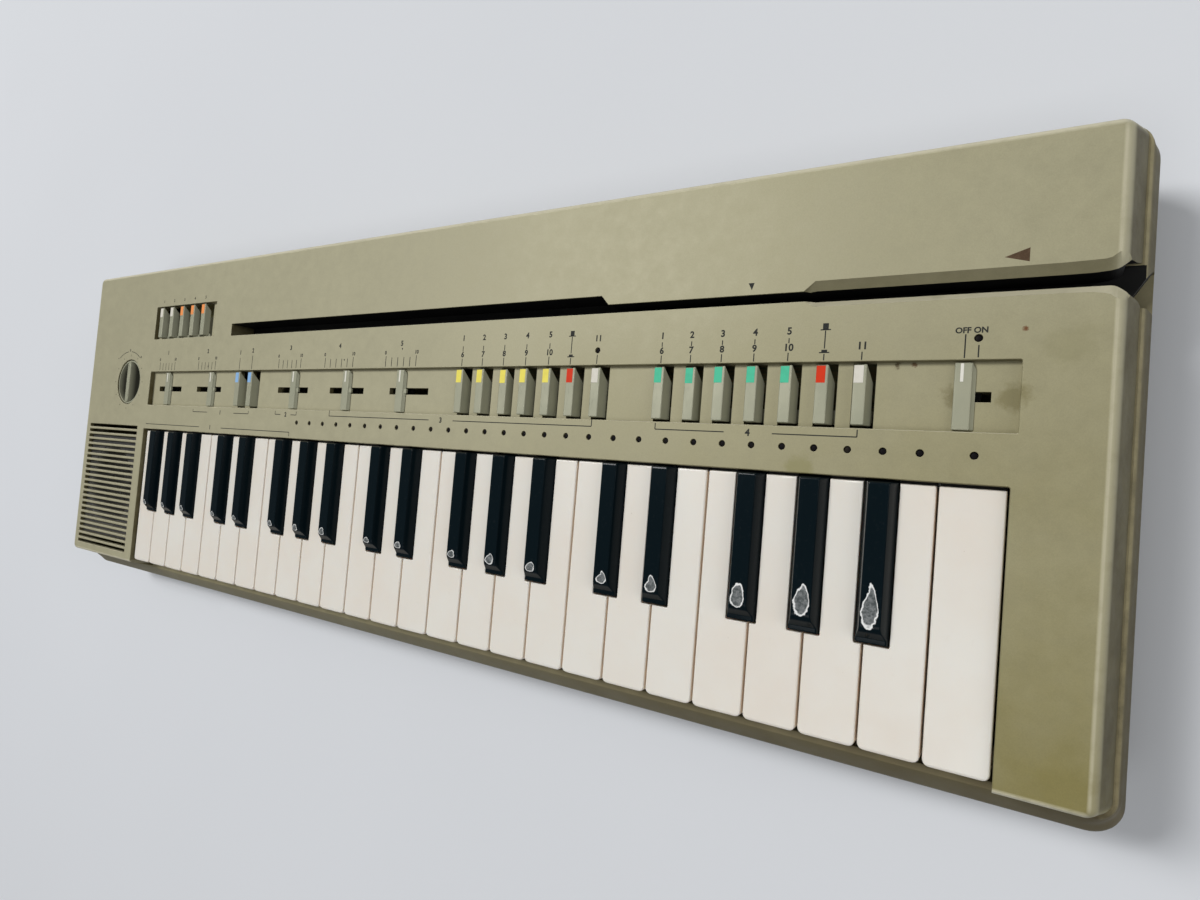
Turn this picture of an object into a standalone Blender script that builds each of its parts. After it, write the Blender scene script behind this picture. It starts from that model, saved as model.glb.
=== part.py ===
"""A portable keyboard with 44 mini keys, a sunken row of sliders and push buttons, and a card slot.

The keyboard lies flat on its feet. Everything is built in the panel's own frame: x runs along the
keys from the left end of the first one, y from the front edge of the keys towards the back, and z
up from the top of the panel. The empty called keyboard puts that frame over the middle of the feet.
Sizes are in metres.
"""

import math

import bmesh
import bpy
from mathutils import Matrix, Vector

# Clearances
GAP = 0.0003
KEY_GAP = 0.0008
SLIDE_GAP = 0.0005

# Keys
KEY_PITCH = 0.020
WHITE_KEYS = 26
KEYS_WIDTH = KEY_PITCH * WHITE_KEYS
KEY_TOP = -0.0025
KEY_THICK = 0.006
KEY_FRONT_DROP = 0.010
KEY_TRAVEL = 0.0053
LEDGE_CLEAR = 0.0062
KEY_SKIRT = 0.0025
KEY_CORNER = 0.0013
KEY_LENGTH = 0.0896
BLACK_FRONT = 0.0354
BLACK_RISE = 0.0048
BLACK_BASE = 0.0108
BLACK_TOP_WIDTH = 0.0066
BLACK_FOOT = 0.0016
BLACK_SLOPE = 0.0062
BLACK_NOSE = 0.0012
HINGE_BEHIND = 0.0039
HINGE_Z = -0.0085
HINGE_RADIUS = 0.003
KEY_ARM_TOP = -0.0046

# Case, from its crest, which is the highest edge of the top case
RIGHT_CHEEK = 0.0238
KEY_OPENING_SIDE = 0.0008
CREST_FRONT = -0.001
KEY_BACK_GAP = 0.0007
BACK_PANEL = 0.0407
PANEL = 0.0025
WALL = 0.0025
TOP_DEPTH = 0.0157
BODY_DEPTH = 0.050
FOOT_HEIGHT = 0.004
FOOT_RADIUS = 0.009
FOOT_INSET = 0.022
EDGE_ROUND = 0.0022
PLAN_CORNER = 0.003
SKIRT_CORNER = 0.0048
SKIRT_SIDE = 0.0055
SKIRT_FRONT = 0.0035
SKIRT_BACK = 0.0045
FLARE_SIDE = 0.0103
FLARE_FRONT = 0.0125
FLARE_BACK = 0.0065
RIM_LIP = 0.0009
FLARE_TOP = 0.0205
FLARE_BOTTOM = 0.028
UNDERSIDE_TUCK = 0.009
FLARE_CORNER = 0.010

# Speaker grille
GRILLE_FROM_CREST = 0.0051
GRILLE_RIGHT = -0.009
GRILLE_FRONT = 0.00465
GRILLE_SLOTS = 23
GRILLE_PITCH = 0.003907
GRILLE_SLOT = 0.0021
SPEAKER_SIZE = 0.072
SPEAKER_SIDE = 0.0054
SPEAKER_RIM = 0.0022
SPEAKER_CONE = 0.017
SPEAKER_NECK = 0.019
SPEAKER_THROAT = 0.010
SPEAKER_MAGNET_RADIUS = 0.022
SPEAKER_MAGNET = 0.011

# Sunken control tray
TRAY_LEFT = 0.0017
TRAY_BEYOND_KEYS = 0.0015
TRAY_WIDTH = 0.0228
TRAY_BEHIND_LAMPS = 0.0075
TRAY_DEPTH = 0.003
PAN_WALL = 0.0025

# Where the groups of controls stand, counted in white keys from the left
CONTROLS_AT = {
    "chord_buttons": 5.39,
    "rhythm_buttons": 14.535,
    "voice_buttons": 19.865,
    "start_lamp": 18.35,
    "power_lamp": 25.46,
}

# Push buttons
BUTTON_PITCH = 0.0128
BUTTON_WIDTH = 0.0071
BUTTON_TOP = 0.002
BUTTON_TRAVEL = 0.0025
BUTTON_LATCHED = 0.0016
WELL_SIDE = 0.0015
CARRIER = 0.003
CARRIER_WIDTH = 0.005
CARRIER_SET_BACK = 0.0015
BUTTON_SIDE = 0.0007
CARD_BUTTON_X = 0.0106
CHORD_BUTTON_COUNT = 2
RHYTHM_BUTTON_COUNT = 7
VOICE_BUTTON_COUNT = 7
CARD_BUTTON_COUNT = 5
LATCHED_RHYTHM = 2
LATCHED_VOICE = 1

# Sliders: the middle of the slot in white keys, how far the cap rests from it, and the slot
SLIDER_SLOT = 0.0278
SLIDER_SLOT_WIDTH = 0.0033
SLIDER_STEM = 0.0032
SLIDER_WIDTH = 0.0058
SLIDER_TOP = -0.0003
SLIDER_BEVEL = 0.0009
SLIDER_FOOT = 0.010
SLIDER_FOOT_WIDTH = 0.006
SLIDER_FOOT_THICK = 0.0015
POWER_SLOT = 0.010
SLIDERS = {
    "master_volume_slider": (1.185, -0.0014, SLIDER_SLOT),
    "chord_volume_slider": (3.525, 0.0040, SLIDER_SLOT),
    "arpeggio_volume_slider": (7.89, 0.0022, SLIDER_SLOT),
    "rhythm_volume_slider": (10.25, 0.0008, SLIDER_SLOT),
    "tempo_slider": (12.65, -0.0051, SLIDER_SLOT),
    "power_slider": (25.425, -0.0031, POWER_SLOT),
}

# Card button box and card slot
CARD_BOX_LEFT = 0.0017
CARD_BOX_RIGHT = 0.0752
CARD_BOX_BEHIND_TRAY = 0.0226
CARD_BOX_WIDTH = 0.0224
SLOT_LEFT = 0.0944
SLOT_STEP = 0.3668
SLOT_STEP_LENGTH = 0.0036
SLOT_BEHIND_TRAY = 0.0221
SLOT_WIDE = 0.0074
SLOT_NARROW = 0.0035
SLOT_DEPTH = 0.0165
SLOT_FLOOR = 0.0025
TROUGH_WALL = 0.0045
LIP_LENGTH = 0.0931
LIP_FLARE_FRONT = 0.0020
LIP_FLARE_BACK = 0.0034
LIP_DEPTH = 0.0028
MOUTH_LENGTH = 0.0056
MOUTH_SPREAD = 0.0056

# Lamps and dial
LAMP_BEHIND_HINGE = 0.006
LAMP_HOLE = 0.0025
LAMP_POST = 0.0018
LAMP_RECESS = 0.0008
START_LAMP_BEHIND_TRAY = 0.0064
POWER_LAMP_BEHIND_TRAY = 0.0070
DIAL_X = -0.0276
DIAL_BEHIND_TRAY_FRONT = 0.0159
DIAL_RADIUS = 0.0154
DIAL_THICK = 0.004
DIAL_SINK = 0.0006
DIAL_DISH = 0.0026
DIAL_RIM = 0.0009
DIAL_BAR = 0.0052
DIAL_HUB = 0.004
DIAL_HUB_RADIUS = 0.004
DIAL_SWITCH_RADIUS = 0.008
DIAL_BAR_SHORT = 0.0016

# Chassis, circuit board and battery bay
RAIL_DEPTH = 0.0075
RAIL_FRONT = 0.006
RAIL_WIDTH = 0.009
RAIL_STOP = 0.0055
CHASSIS_RIBS = 5
RIB_WIDTH = 0.006
BOARD_TOP = -0.016
BOARD = 0.0016
BOARD_LEFT = -0.050
BOARD_BEYOND_KEYS = 0.008
BOARD_BEFORE_LAMPS = 0.0013
BOARD_BEHIND_TRAY = 0.0112
BOARD_TAB_RIGHT = 0.086
BOARD_TAB_TO_BACK = 0.014
SOCKET_X = (0.012, 0.034, 0.056)
SOCKET_Z = -0.0095
SOCKET_BORE = 0.0034
SOCKET_RADIUS = 0.0050
SOCKET_BORE_DEPTH = 0.012
SOCKET_BLOCK = 0.013
SOCKET_BLOCK_TOP = -0.0035
SOCKET_PROUD = 0.001
SWITCH_LENGTH = 0.006
SWITCH_WIDTH = 0.004
POST_RADIUS = 0.004
BAY_LEFT = 0.100
BAY_BEHIND_TRAY_FRONT = 0.013
BAY_LENGTH = 0.162
BAY_WIDTH = 0.058
BAY_HEIGHT = 0.0275
BAY_WALL = 0.002
DOOR_THICK = 0.002
DOOR_TRAVEL = 0.012
DOOR_TONGUE = 0.0022
DOOR_LEAN = 0.0012

BLACK_PITCH = KEY_PITCH * 8 / 7
LEFT_CHEEK = SPEAKER_SIZE + 2 * SPEAKER_SIDE
CREST_LEFT = -KEY_OPENING_SIDE - LEFT_CHEEK
CREST_RIGHT = KEYS_WIDTH + KEY_OPENING_SIDE + RIGHT_CHEEK
LIP_START = CREST_RIGHT - LIP_LENGTH
MOUTH_START = CREST_RIGHT - MOUTH_LENGTH
GRILLE_LEFT = CREST_LEFT + GRILLE_FROM_CREST
KEY_OPENING_BACK = KEY_LENGTH + KEY_BACK_GAP
HINGE_Y = KEY_LENGTH + HINGE_BEHIND
LAMP_Y = HINGE_Y + LAMP_BEHIND_HINGE
TRAY_FRONT = LAMP_Y + TRAY_BEHIND_LAMPS
TRAY_BACK = TRAY_FRONT + TRAY_WIDTH
START_LAMP = (CONTROLS_AT["start_lamp"] * KEY_PITCH, TRAY_BACK + START_LAMP_BEHIND_TRAY)
POWER_LAMP = (CONTROLS_AT["power_lamp"] * KEY_PITCH, TRAY_BACK + POWER_LAMP_BEHIND_TRAY)
DIAL_CENTRE = (DIAL_X, TRAY_FRONT + DIAL_BEHIND_TRAY_FRONT)
CARD_BOX_FRONT = TRAY_BACK + CARD_BOX_BEHIND_TRAY
CARD_BOX_BACK = CARD_BOX_FRONT + CARD_BOX_WIDTH
SLOT_FRONT = TRAY_BACK + SLOT_BEHIND_TRAY
SLOT_BACK = SLOT_FRONT + SLOT_WIDE
CREST_BACK = SLOT_BACK + BACK_PANEL
BOARD_FRONT = LAMP_Y - BOARD_BEFORE_LAMPS
BOARD_BACK = TRAY_BACK + BOARD_BEHIND_TRAY
BOARD_TAB_BACK = CREST_BACK - BOARD_TAB_TO_BACK
BOARD_RIGHT = KEYS_WIDTH + BOARD_BEYOND_KEYS
TRAY_RIGHT = KEYS_WIDTH + TRAY_BEYOND_KEYS
BAY_FRONT = TRAY_FRONT + BAY_BEHIND_TRAY_FRONT
KEY_BOTTOM = KEY_TOP - KEY_THICK
TRAY_FLOOR = -TRAY_DEPTH
PAN_BOTTOM = TRAY_FLOOR - PAN_WALL
CONTROL_Y = (TRAY_FRONT + TRAY_BACK) / 2
TROUGH_BOTTOM = -SLOT_DEPTH - SLOT_FLOOR
CASE_MIDDLE = (CREST_LEFT + CREST_RIGHT) / 2
CASE_FRONT = CREST_FRONT - FLARE_FRONT
CASE_BACK = CREST_BACK + FLARE_BACK
CARRIER_FRONT_TO_MIDDLE = CARRIER_SET_BACK + CARRIER_WIDTH / 2
FRAME_ORIGIN = (-CASE_MIDDLE, -(CASE_FRONT + CASE_BACK) / 2, BODY_DEPTH + FOOT_HEIGHT)
RAIL_TOP = HINGE_Z - 0.001
RAIL_BOTTOM = RAIL_TOP - RAIL_DEPTH
INSIDE_FLOOR = -BODY_DEPTH + WALL
BAY_TOP = -BODY_DEPTH + BAY_HEIGHT + BAY_WALL
LEDGE_TOP = KEY_TOP - KEY_FRONT_DROP - KEY_TRAVEL - LEDGE_CLEAR
RECESS_TOP = -BODY_DEPTH + DOOR_THICK + GAP
RAIL_REST = KEY_BOTTOM - RAIL_STOP
SPEAKER_TOP = -PANEL - GAP
BAR_TOP = PAN_BOTTOM - GAP
OVERSHOOT = 0.004

# Which notes of an octave from F are black, and the letters of the white ones
OCTAVE = ("F", "Fsharp", "G", "Gsharp", "A", "Asharp", "B", "C", "Csharp", "D", "Dsharp", "E")
FIRST_OCTAVE = 2
WHITES_F_TO_B = 4
WHITES_C_TO_E = 3

PAINTS = {
    "case_paint": ((0.40, 0.38, 0.26), 0.42, 0.35),
    "lower_case_paint": ((0.33, 0.30, 0.20), 0.50, 0.25),
    "white_key": ((0.75, 0.72, 0.66), 0.30, 0.0),
    "black_key": ((0.010, 0.014, 0.018), 0.25, 0.0),
    "control_plastic": ((0.38, 0.37, 0.27), 0.45, 0.0),
    "chassis_steel": ((0.45, 0.45, 0.45), 0.45, 0.9),
    "circuit_board": ((0.10, 0.16, 0.07), 0.55, 0.0),
    "speaker_steel": ((0.05, 0.05, 0.05), 0.55, 0.4),
}


def clear_scene():
    for found in list(bpy.data.objects):
        bpy.data.objects.remove(found, do_unlink=True)


def new_collection(name):
    collection = bpy.data.collections.new(name)
    bpy.context.scene.collection.children.link(collection)
    return collection


def paint(name):
    """The material of this name, made once."""
    material = bpy.data.materials.get(name)
    if material is None:
        colour, roughness, metallic = PAINTS[name]
        material = bpy.data.materials.new(name)
        material.use_nodes = True
        shader = material.node_tree.nodes["Principled BSDF"]
        shader.inputs["Base Color"].default_value = (*colour, 1.0)
        shader.inputs["Roughness"].default_value = roughness
        shader.inputs["Metallic"].default_value = metallic
        material.diffuse_color = (*colour, 1.0)
    return material


clear_scene()
PARTS = new_collection("portable_keyboard")
CUTTERS = new_collection("cutters")
KEYBOARD = bpy.data.objects.new("keyboard", None)
KEYBOARD.location = FRAME_ORIGIN
PARTS.objects.link(KEYBOARD)


def finish_mesh(bm, name, origin):
    bmesh.ops.recalc_face_normals(bm, faces=bm.faces)
    bmesh.ops.translate(bm, vec=-Vector(origin), verts=bm.verts)
    mesh = bpy.data.meshes.new(name)
    bm.to_mesh(mesh)
    bm.free()
    made = bpy.data.objects.new(name, mesh)
    made.location = origin
    made.parent = KEYBOARD
    return made


def part(bm, name, material, origin=(0, 0, 0)):
    """A node of the keyboard, with its origin where its joint or its middle is."""
    made = finish_mesh(bm, name, origin)
    PARTS.objects.link(made)
    made.data.materials.append(paint(material))
    made.data.shade_smooth()
    made.data.set_sharp_from_angle(angle=math.radians(30))
    return made


def helper(bm, name):
    """A solid that only cuts or joins, and isn't part of the keyboard."""
    made = finish_mesh(bm, name, (0, 0, 0))
    CUTTERS.objects.link(made)
    made.hide_render = True
    made.display_type = "WIRE"
    return made


def combine(target, other, operation="DIFFERENCE"):
    modifier = target.modifiers.new(f"{operation.lower()}_{other.name}", "BOOLEAN")
    modifier.operation = operation
    modifier.object = other


def add_box(bm, low, high):
    low, high = Vector(low), Vector(high)
    size = high - low
    matrix = Matrix.Translation((low + high) / 2) @ Matrix.Diagonal((*size, 1))
    return bmesh.ops.create_cube(bm, size=1, matrix=matrix)["verts"]


def add_cylinder(bm, centre, radius, bottom, top, sides, top_radius=None):
    """A cylinder or cone that stands along z."""
    matrix = Matrix.Translation((centre[0], centre[1], (bottom + top) / 2))
    turned = Matrix.Rotation(math.pi / sides, 4, "Z")
    bmesh.ops.create_cone(
        bm, cap_ends=True, segments=sides, radius1=radius,
        radius2=radius if top_radius is None else top_radius, depth=top - bottom, matrix=matrix @ turned,
    )


def add_cylinder_y(bm, x, z, radius, front, back, sides):
    """A cylinder that lies along y."""
    matrix = Matrix.Translation((x, (front + back) / 2, z)) @ Matrix.Rotation(math.pi / 2, 4, "X")
    bmesh.ops.create_cone(
        bm, cap_ends=True, segments=sides, radius1=radius, radius2=radius, depth=back - front, matrix=matrix,
    )


def add_prism(bm, outline, shift):
    """A flat outline of 3D points, pushed along shift."""
    face = bm.faces.new([bm.verts.new(point) for point in outline])
    pushed = bmesh.ops.extrude_face_region(bm, geom=[face])["geom"]
    moved = [item for item in pushed if isinstance(item, bmesh.types.BMVert)]
    bmesh.ops.translate(bm, vec=shift, verts=moved)
    return list(face.verts) + moved


def add_loft(bm, rings):
    """Skin over rings of equally many points, closed by a face at each end."""
    loops = [[bm.verts.new(point) for point in ring] for ring in rings]
    count = len(loops[0])
    for lower, upper in zip(loops, loops[1:]):
        for i in range(count):
            j = (i + 1) % count
            bm.faces.new((lower[i], lower[j], upper[j], upper[i]))
    bm.faces.new(loops[0])
    bm.faces.new(loops[-1])


def rounded_ring(low, high, radius, z, steps):
    """Points round a rectangle with round corners, at height z."""
    centres = (
        (high[0] - radius, high[1] - radius),
        (low[0] + radius, high[1] - radius),
        (low[0] + radius, low[1] + radius),
        (high[0] - radius, low[1] + radius),
    )
    points = []
    for corner, (x, y) in enumerate(centres):
        for i in range(steps + 1):
            angle = math.pi / 2 * (corner + i / steps)
            points.append((x + radius * math.cos(angle), y + radius * math.sin(angle), z))
    return points


def crest_ring(z, side, front, back, radius, steps=4):
    """A ring round the case, set out from the crest by these amounts."""
    low = (CREST_LEFT - side, CREST_FRONT - front)
    high = (CREST_RIGHT + side, CREST_BACK + back)
    return rounded_ring(low, high, radius, z, steps)


def white_positions():
    """(index, letter) of each white key from the left."""
    letters = [note for note in OCTAVE if "sharp" not in note]
    return [(i, letters[i % len(letters)]) for i in range(WHITE_KEYS)]


def black_positions():
    """(name, x) of each black key. Three sit evenly over F to B, and two over C to E."""
    found = []
    octave_width = KEY_PITCH * (WHITES_F_TO_B + WHITES_C_TO_E)
    octave = 0
    while octave * octave_width < KEYS_WIDTH - KEY_PITCH:
        left = octave * octave_width
        three = left + WHITES_F_TO_B * KEY_PITCH / 2
        two = left + (WHITES_F_TO_B + WHITES_C_TO_E / 2) * KEY_PITCH
        groups = (
            ("Fsharp", three - BLACK_PITCH), ("Gsharp", three), ("Asharp", three + BLACK_PITCH),
            ("Csharp", two - BLACK_PITCH / 2), ("Dsharp", two + BLACK_PITCH / 2),
        )
        for note, x in groups:
            if x < KEYS_WIDTH - KEY_PITCH:
                number = FIRST_OCTAVE + octave + (note[0] in "CD")
                found.append((f"key_{note}{number}", x))
        octave += 1
    return found


def lamp_positions():
    """x of each guide lamp, over the middle of the tail of its key, from the second G to the top C."""
    first_span = WHITES_F_TO_B * KEY_PITCH
    second_span = WHITES_C_TO_E * KEY_PITCH
    octave_width = first_span + second_span
    found = []
    for octave in (1, 2, 3):
        left = octave * octave_width
        skipped = 2 if octave == 1 else 0
        found += [left + first_span * (i + 0.5) / 7 for i in range(skipped, 7)]
        if octave < 3:
            found += [left + first_span + second_span * (i + 0.5) / 5 for i in range(5)]
    return found + [KEYS_WIDTH - KEY_PITCH / 2]


def hinge_arc(radius, start, end, steps):
    """(y, z) points round the hinge line, by angle from the back."""
    points = []
    for i in range(steps + 1):
        angle = math.radians(start + (end - start) * i / steps)
        points.append((HINGE_Y + radius * math.cos(angle), HINGE_Z + radius * math.sin(angle)))
    return points


def arm_profile(front):
    """(y, z) outline of the arm behind a key, round the hinge bead and back to the underside."""
    return [
        (front, KEY_BOTTOM),
        (front, KEY_ARM_TOP),
        (HINGE_Y - HINGE_RADIUS, KEY_ARM_TOP),
        *hinge_arc(HINGE_RADIUS, 90, -160, 8),
        (HINGE_Y - HINGE_RADIUS - SLIDE_GAP, KEY_BOTTOM),
    ]


def across(profile, left, right):
    """A (y, z) profile as 3D points at x = left, and the shift to x = right."""
    return [(left, y, z) for y, z in profile], Vector((right - left, 0, 0))


def white_key_profile():
    """(y, z) outline of a white key from the side, with its round nose and front skirt."""
    nose = KEY_CORNER
    return [
        (0, KEY_TOP - KEY_FRONT_DROP),
        (0, KEY_TOP - nose),
        (nose * 0.3, KEY_TOP - nose * 0.3),
        (nose, KEY_TOP),
        (KEY_LENGTH, KEY_TOP),
        *arm_profile(KEY_LENGTH)[1:],
        (KEY_SKIRT, KEY_BOTTOM),
        (KEY_SKIRT, KEY_TOP - KEY_FRONT_DROP),
    ]


def white_key(name, left):
    bm = bmesh.new()
    outline, shift = across(white_key_profile(), left + KEY_GAP / 2, left + KEY_PITCH - KEY_GAP / 2)
    add_prism(bm, outline, shift)
    ends = (outline[0][0], outline[0][0] + shift.x)
    corner_edges = [
        edge for edge in bm.edges
        if all(vert.co.y <= KEY_CORNER + 1e-6 for vert in edge.verts)
        and any(all(abs(vert.co.x - x) < 1e-6 for vert in edge.verts) for x in ends)
        and min(vert.co.z for vert in edge.verts) >= KEY_TOP - KEY_FRONT_DROP
        and abs(edge.verts[0].co.z - edge.verts[1].co.z) > 1e-6
    ]
    bmesh.ops.bevel(bm, geom=corner_edges, offset=KEY_CORNER, segments=2, profile=0.5, affect="EDGES")
    origin = (left + KEY_PITCH / 2, HINGE_Y, HINGE_Z)
    return part(bm, name, "white_key", origin)


def black_section(x, y, top):
    """A cross-section of a black key: upright below the white keys' tops, narrowing above them."""
    lean = (top - KEY_TOP) / BLACK_RISE
    upper = BLACK_BASE / 2 - (BLACK_BASE - BLACK_TOP_WIDTH) / 2 * lean
    half = BLACK_BASE / 2
    return [
        (x - half, y, KEY_BOTTOM), (x + half, y, KEY_BOTTOM), (x + half, y, KEY_TOP),
        (x + upper, y, top), (x - upper, y, top), (x - half, y, KEY_TOP),
    ]


def black_key(name, x):
    bm = bmesh.new()
    top = KEY_TOP + BLACK_RISE
    foot_top = KEY_TOP + BLACK_RISE * 0.26
    slope_back = BLACK_FRONT + BLACK_SLOPE
    stations = (
        (BLACK_FRONT, foot_top - 0.0003),
        (BLACK_FRONT + BLACK_FOOT, foot_top),
        (BLACK_FRONT + BLACK_FOOT + 0.0003, foot_top + 0.0003),
        (slope_back - BLACK_NOSE * 1.8, KEY_TOP + BLACK_RISE * 0.74),
        (slope_back - BLACK_NOSE, KEY_TOP + BLACK_RISE * 0.92),
        (slope_back, top),
        (KEY_LENGTH, top),
    )
    add_loft(bm, [black_section(x, y, height) for y, height in stations])
    key = part(bm, name, "black_key", (x, HINGE_Y, HINGE_Z))
    arm = bmesh.new()
    half = BLACK_BASE / 2 - KEY_GAP / 4
    outline, shift = across(arm_profile(KEY_LENGTH - 0.004), x - half, x + half)
    add_prism(arm, outline, shift)
    combine(key, helper(arm, f"{name}_arm"), "UNION")
    return key


def key_bed():
    """All the keys. Each white key is cut away beside the black keys next to it."""
    blacks = black_positions()
    room = BLACK_BASE / 2 + KEY_GAP / 2
    cutters = {}
    for name, x in blacks:
        black_key(name, x)
        bm = bmesh.new()
        add_box(bm, (x - room, BLACK_FRONT - KEY_GAP, HINGE_Z - 2 * OVERSHOOT),
                (x + room, HINGE_Y + 2 * OVERSHOOT, KEY_TOP + OVERSHOOT))
        cutters[x] = helper(bm, f"{name}_room")
    octave = FIRST_OCTAVE
    for i, letter in white_positions():
        if letter == "C":
            octave += 1
        left = i * KEY_PITCH
        key = white_key(f"key_{letter}{octave}", left)
        for x, cutter in cutters.items():
            if x + room > left and x - room < left + KEY_PITCH:
                combine(key, cutter)


def outer_top():
    bm = bmesh.new()
    add_loft(bm, [
        crest_ring(-TOP_DEPTH, SKIRT_SIDE, SKIRT_FRONT, SKIRT_BACK, SKIRT_CORNER),
        crest_ring(-EDGE_ROUND, 0, 0, 0, PLAN_CORNER),
        crest_ring(-EDGE_ROUND * 0.3, -EDGE_ROUND * 0.3, -EDGE_ROUND * 0.3, -EDGE_ROUND * 0.3,
                   PLAN_CORNER - EDGE_ROUND * 0.3),
        crest_ring(0, -EDGE_ROUND, -EDGE_ROUND, -EDGE_ROUND, PLAN_CORNER - EDGE_ROUND),
    ])
    return part(bm, "top_case", "case_paint")


def top_cavity():
    """The inside of the top case, less the solid that the tray, the boxes and the trough are cut from."""
    grow = OVERSHOOT / (TOP_DEPTH - EDGE_ROUND)
    bm = bmesh.new()
    add_loft(bm, [
        crest_ring(-TOP_DEPTH - OVERSHOOT, SKIRT_SIDE * (1 + grow) - WALL, SKIRT_FRONT * (1 + grow) - WALL,
                   SKIRT_BACK * (1 + grow) - WALL, SKIRT_CORNER - WALL),
        crest_ring(-PANEL, -WALL, -WALL, -WALL, PLAN_CORNER - WALL),
    ])
    cavity = helper(bm, "top_cavity")
    kept = bmesh.new()
    deep = -TOP_DEPTH - 2 * OVERSHOOT
    for x in (-KEY_OPENING_SIDE - WALL, KEYS_WIDTH + KEY_OPENING_SIDE):
        add_box(kept, (x, CREST_FRONT - 0.010, deep), (x + WALL, KEY_OPENING_BACK, 0))
    add_box(kept, (TRAY_LEFT - WALL, TRAY_FRONT - WALL, PAN_BOTTOM), (TRAY_RIGHT + WALL, TRAY_BACK + WALL, 0))
    add_box(kept, (CARD_BOX_LEFT - WALL, CARD_BOX_FRONT - WALL, PAN_BOTTOM),
            (CARD_BOX_RIGHT + WALL, CARD_BOX_BACK + WALL, 0))
    add_box(kept, (SLOT_LEFT - WALL, SLOT_FRONT - TROUGH_WALL, TROUGH_BOTTOM),
            (CREST_RIGHT + 0.015, SLOT_BACK + TROUGH_WALL, 0))
    combine(cavity, helper(kept, "kept_in_top"))
    return cavity


def panel_openings():
    bm = bmesh.new()
    above = 0.002
    add_box(bm, (-KEY_OPENING_SIDE, CASE_FRONT - OVERSHOOT, -TOP_DEPTH - 3 * OVERSHOOT),
            (KEYS_WIDTH + KEY_OPENING_SIDE, KEY_OPENING_BACK, above))
    add_box(bm, (TRAY_LEFT, TRAY_FRONT, TRAY_FLOOR), (TRAY_RIGHT, TRAY_BACK, above))
    add_box(bm, (CARD_BOX_LEFT, CARD_BOX_FRONT, TRAY_FLOOR), (CARD_BOX_RIGHT, CARD_BOX_BACK, above))
    step_end = SLOT_STEP + SLOT_STEP_LENGTH
    end = CREST_RIGHT + 0.020
    outline = [
        (SLOT_LEFT, SLOT_FRONT), (end, SLOT_FRONT), (end, SLOT_FRONT + SLOT_NARROW),
        (step_end, SLOT_FRONT + SLOT_NARROW), (SLOT_STEP, SLOT_BACK), (SLOT_LEFT, SLOT_BACK),
    ]
    add_prism(bm, [(x, y, -SLOT_DEPTH) for x, y in outline], Vector((0, 0, SLOT_DEPTH + above)))
    for i in range(GRILLE_SLOTS):
        y = GRILLE_FRONT + i * GRILLE_PITCH
        add_box(bm, (GRILLE_LEFT, y - GRILLE_SLOT / 2, -PANEL - above),
                (GRILLE_RIGHT, y + GRILLE_SLOT / 2, above))
    lamps = [(x, LAMP_Y) for x in lamp_positions()] + [START_LAMP, POWER_LAMP]
    for centre in lamps:
        add_cylinder(bm, centre, LAMP_HOLE / 2, -PANEL - above, above, 8)
    add_cylinder(bm, DIAL_CENTRE, DIAL_RADIUS + SLIDE_GAP, -PANEL - above, above, 32)
    for x in SOCKET_X:
        add_cylinder_y(bm, x, SOCKET_Z, SOCKET_RADIUS + SLIDE_GAP, CREST_BACK - WALL - above,
                       CREST_BACK + 0.010, 16)
    return helper(bm, "panel_openings")


def button_rows():
    """name: (front, back, [(x, latched)]) of each bank of push buttons."""
    def row(first, count, latched=None):
        return [(first + i * BUTTON_PITCH, i == latched) for i in range(count)]

    chord = row(CONTROLS_AT["chord_buttons"] * KEY_PITCH, CHORD_BUTTON_COUNT)
    rhythm = row(CONTROLS_AT["rhythm_buttons"] * KEY_PITCH, RHYTHM_BUTTON_COUNT, LATCHED_RHYTHM)
    voice = row(CONTROLS_AT["voice_buttons"] * KEY_PITCH, VOICE_BUTTON_COUNT, LATCHED_VOICE)
    card = row(CARD_BUTTON_X, CARD_BUTTON_COUNT)
    return {
        "accompaniment_buttons": (TRAY_FRONT, TRAY_BACK, chord + rhythm),
        "voice_buttons": (TRAY_FRONT, TRAY_BACK, voice),
        "card_buttons": (CARD_BOX_FRONT, CARD_BOX_BACK, card),
    }


def tray_slots():
    """The wells round the push buttons, and the sliders' slots, down through the tray."""
    bm = bmesh.new()
    below = PAN_BOTTOM - 0.001
    above = TRAY_FLOOR + 0.001
    for front, back, buttons in button_rows().values():
        for x, _ in buttons:
            half = BUTTON_WIDTH / 2 + WELL_SIDE
            add_box(bm, (x - half, front + 0.0001, below), (x + half, back - 0.0001, above))
    for keys_along, _, length in SLIDERS.values():
        middle = keys_along * KEY_PITCH
        add_box(bm, (middle - length / 2, CONTROL_Y - SLIDER_SLOT_WIDTH / 2, below),
                (middle + length / 2, CONTROL_Y + SLIDER_SLOT_WIDTH / 2, above))
    back = SLOT_FRONT + SLOT_NARROW
    lip = [
        (SLOT_FRONT - LIP_FLARE_FRONT, 0), (SLOT_FRONT - LIP_FLARE_FRONT, 0.001),
        (back + LIP_FLARE_BACK, 0.001), (back + LIP_FLARE_BACK, 0), (back - 0.0001, -LIP_DEPTH),
        (SLOT_FRONT + 0.0001, -LIP_DEPTH),
    ]
    outline, shift = across(lip, LIP_START, CREST_RIGHT + 0.012)
    add_prism(bm, outline, shift)
    return helper(bm, "tray_slots")


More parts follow.
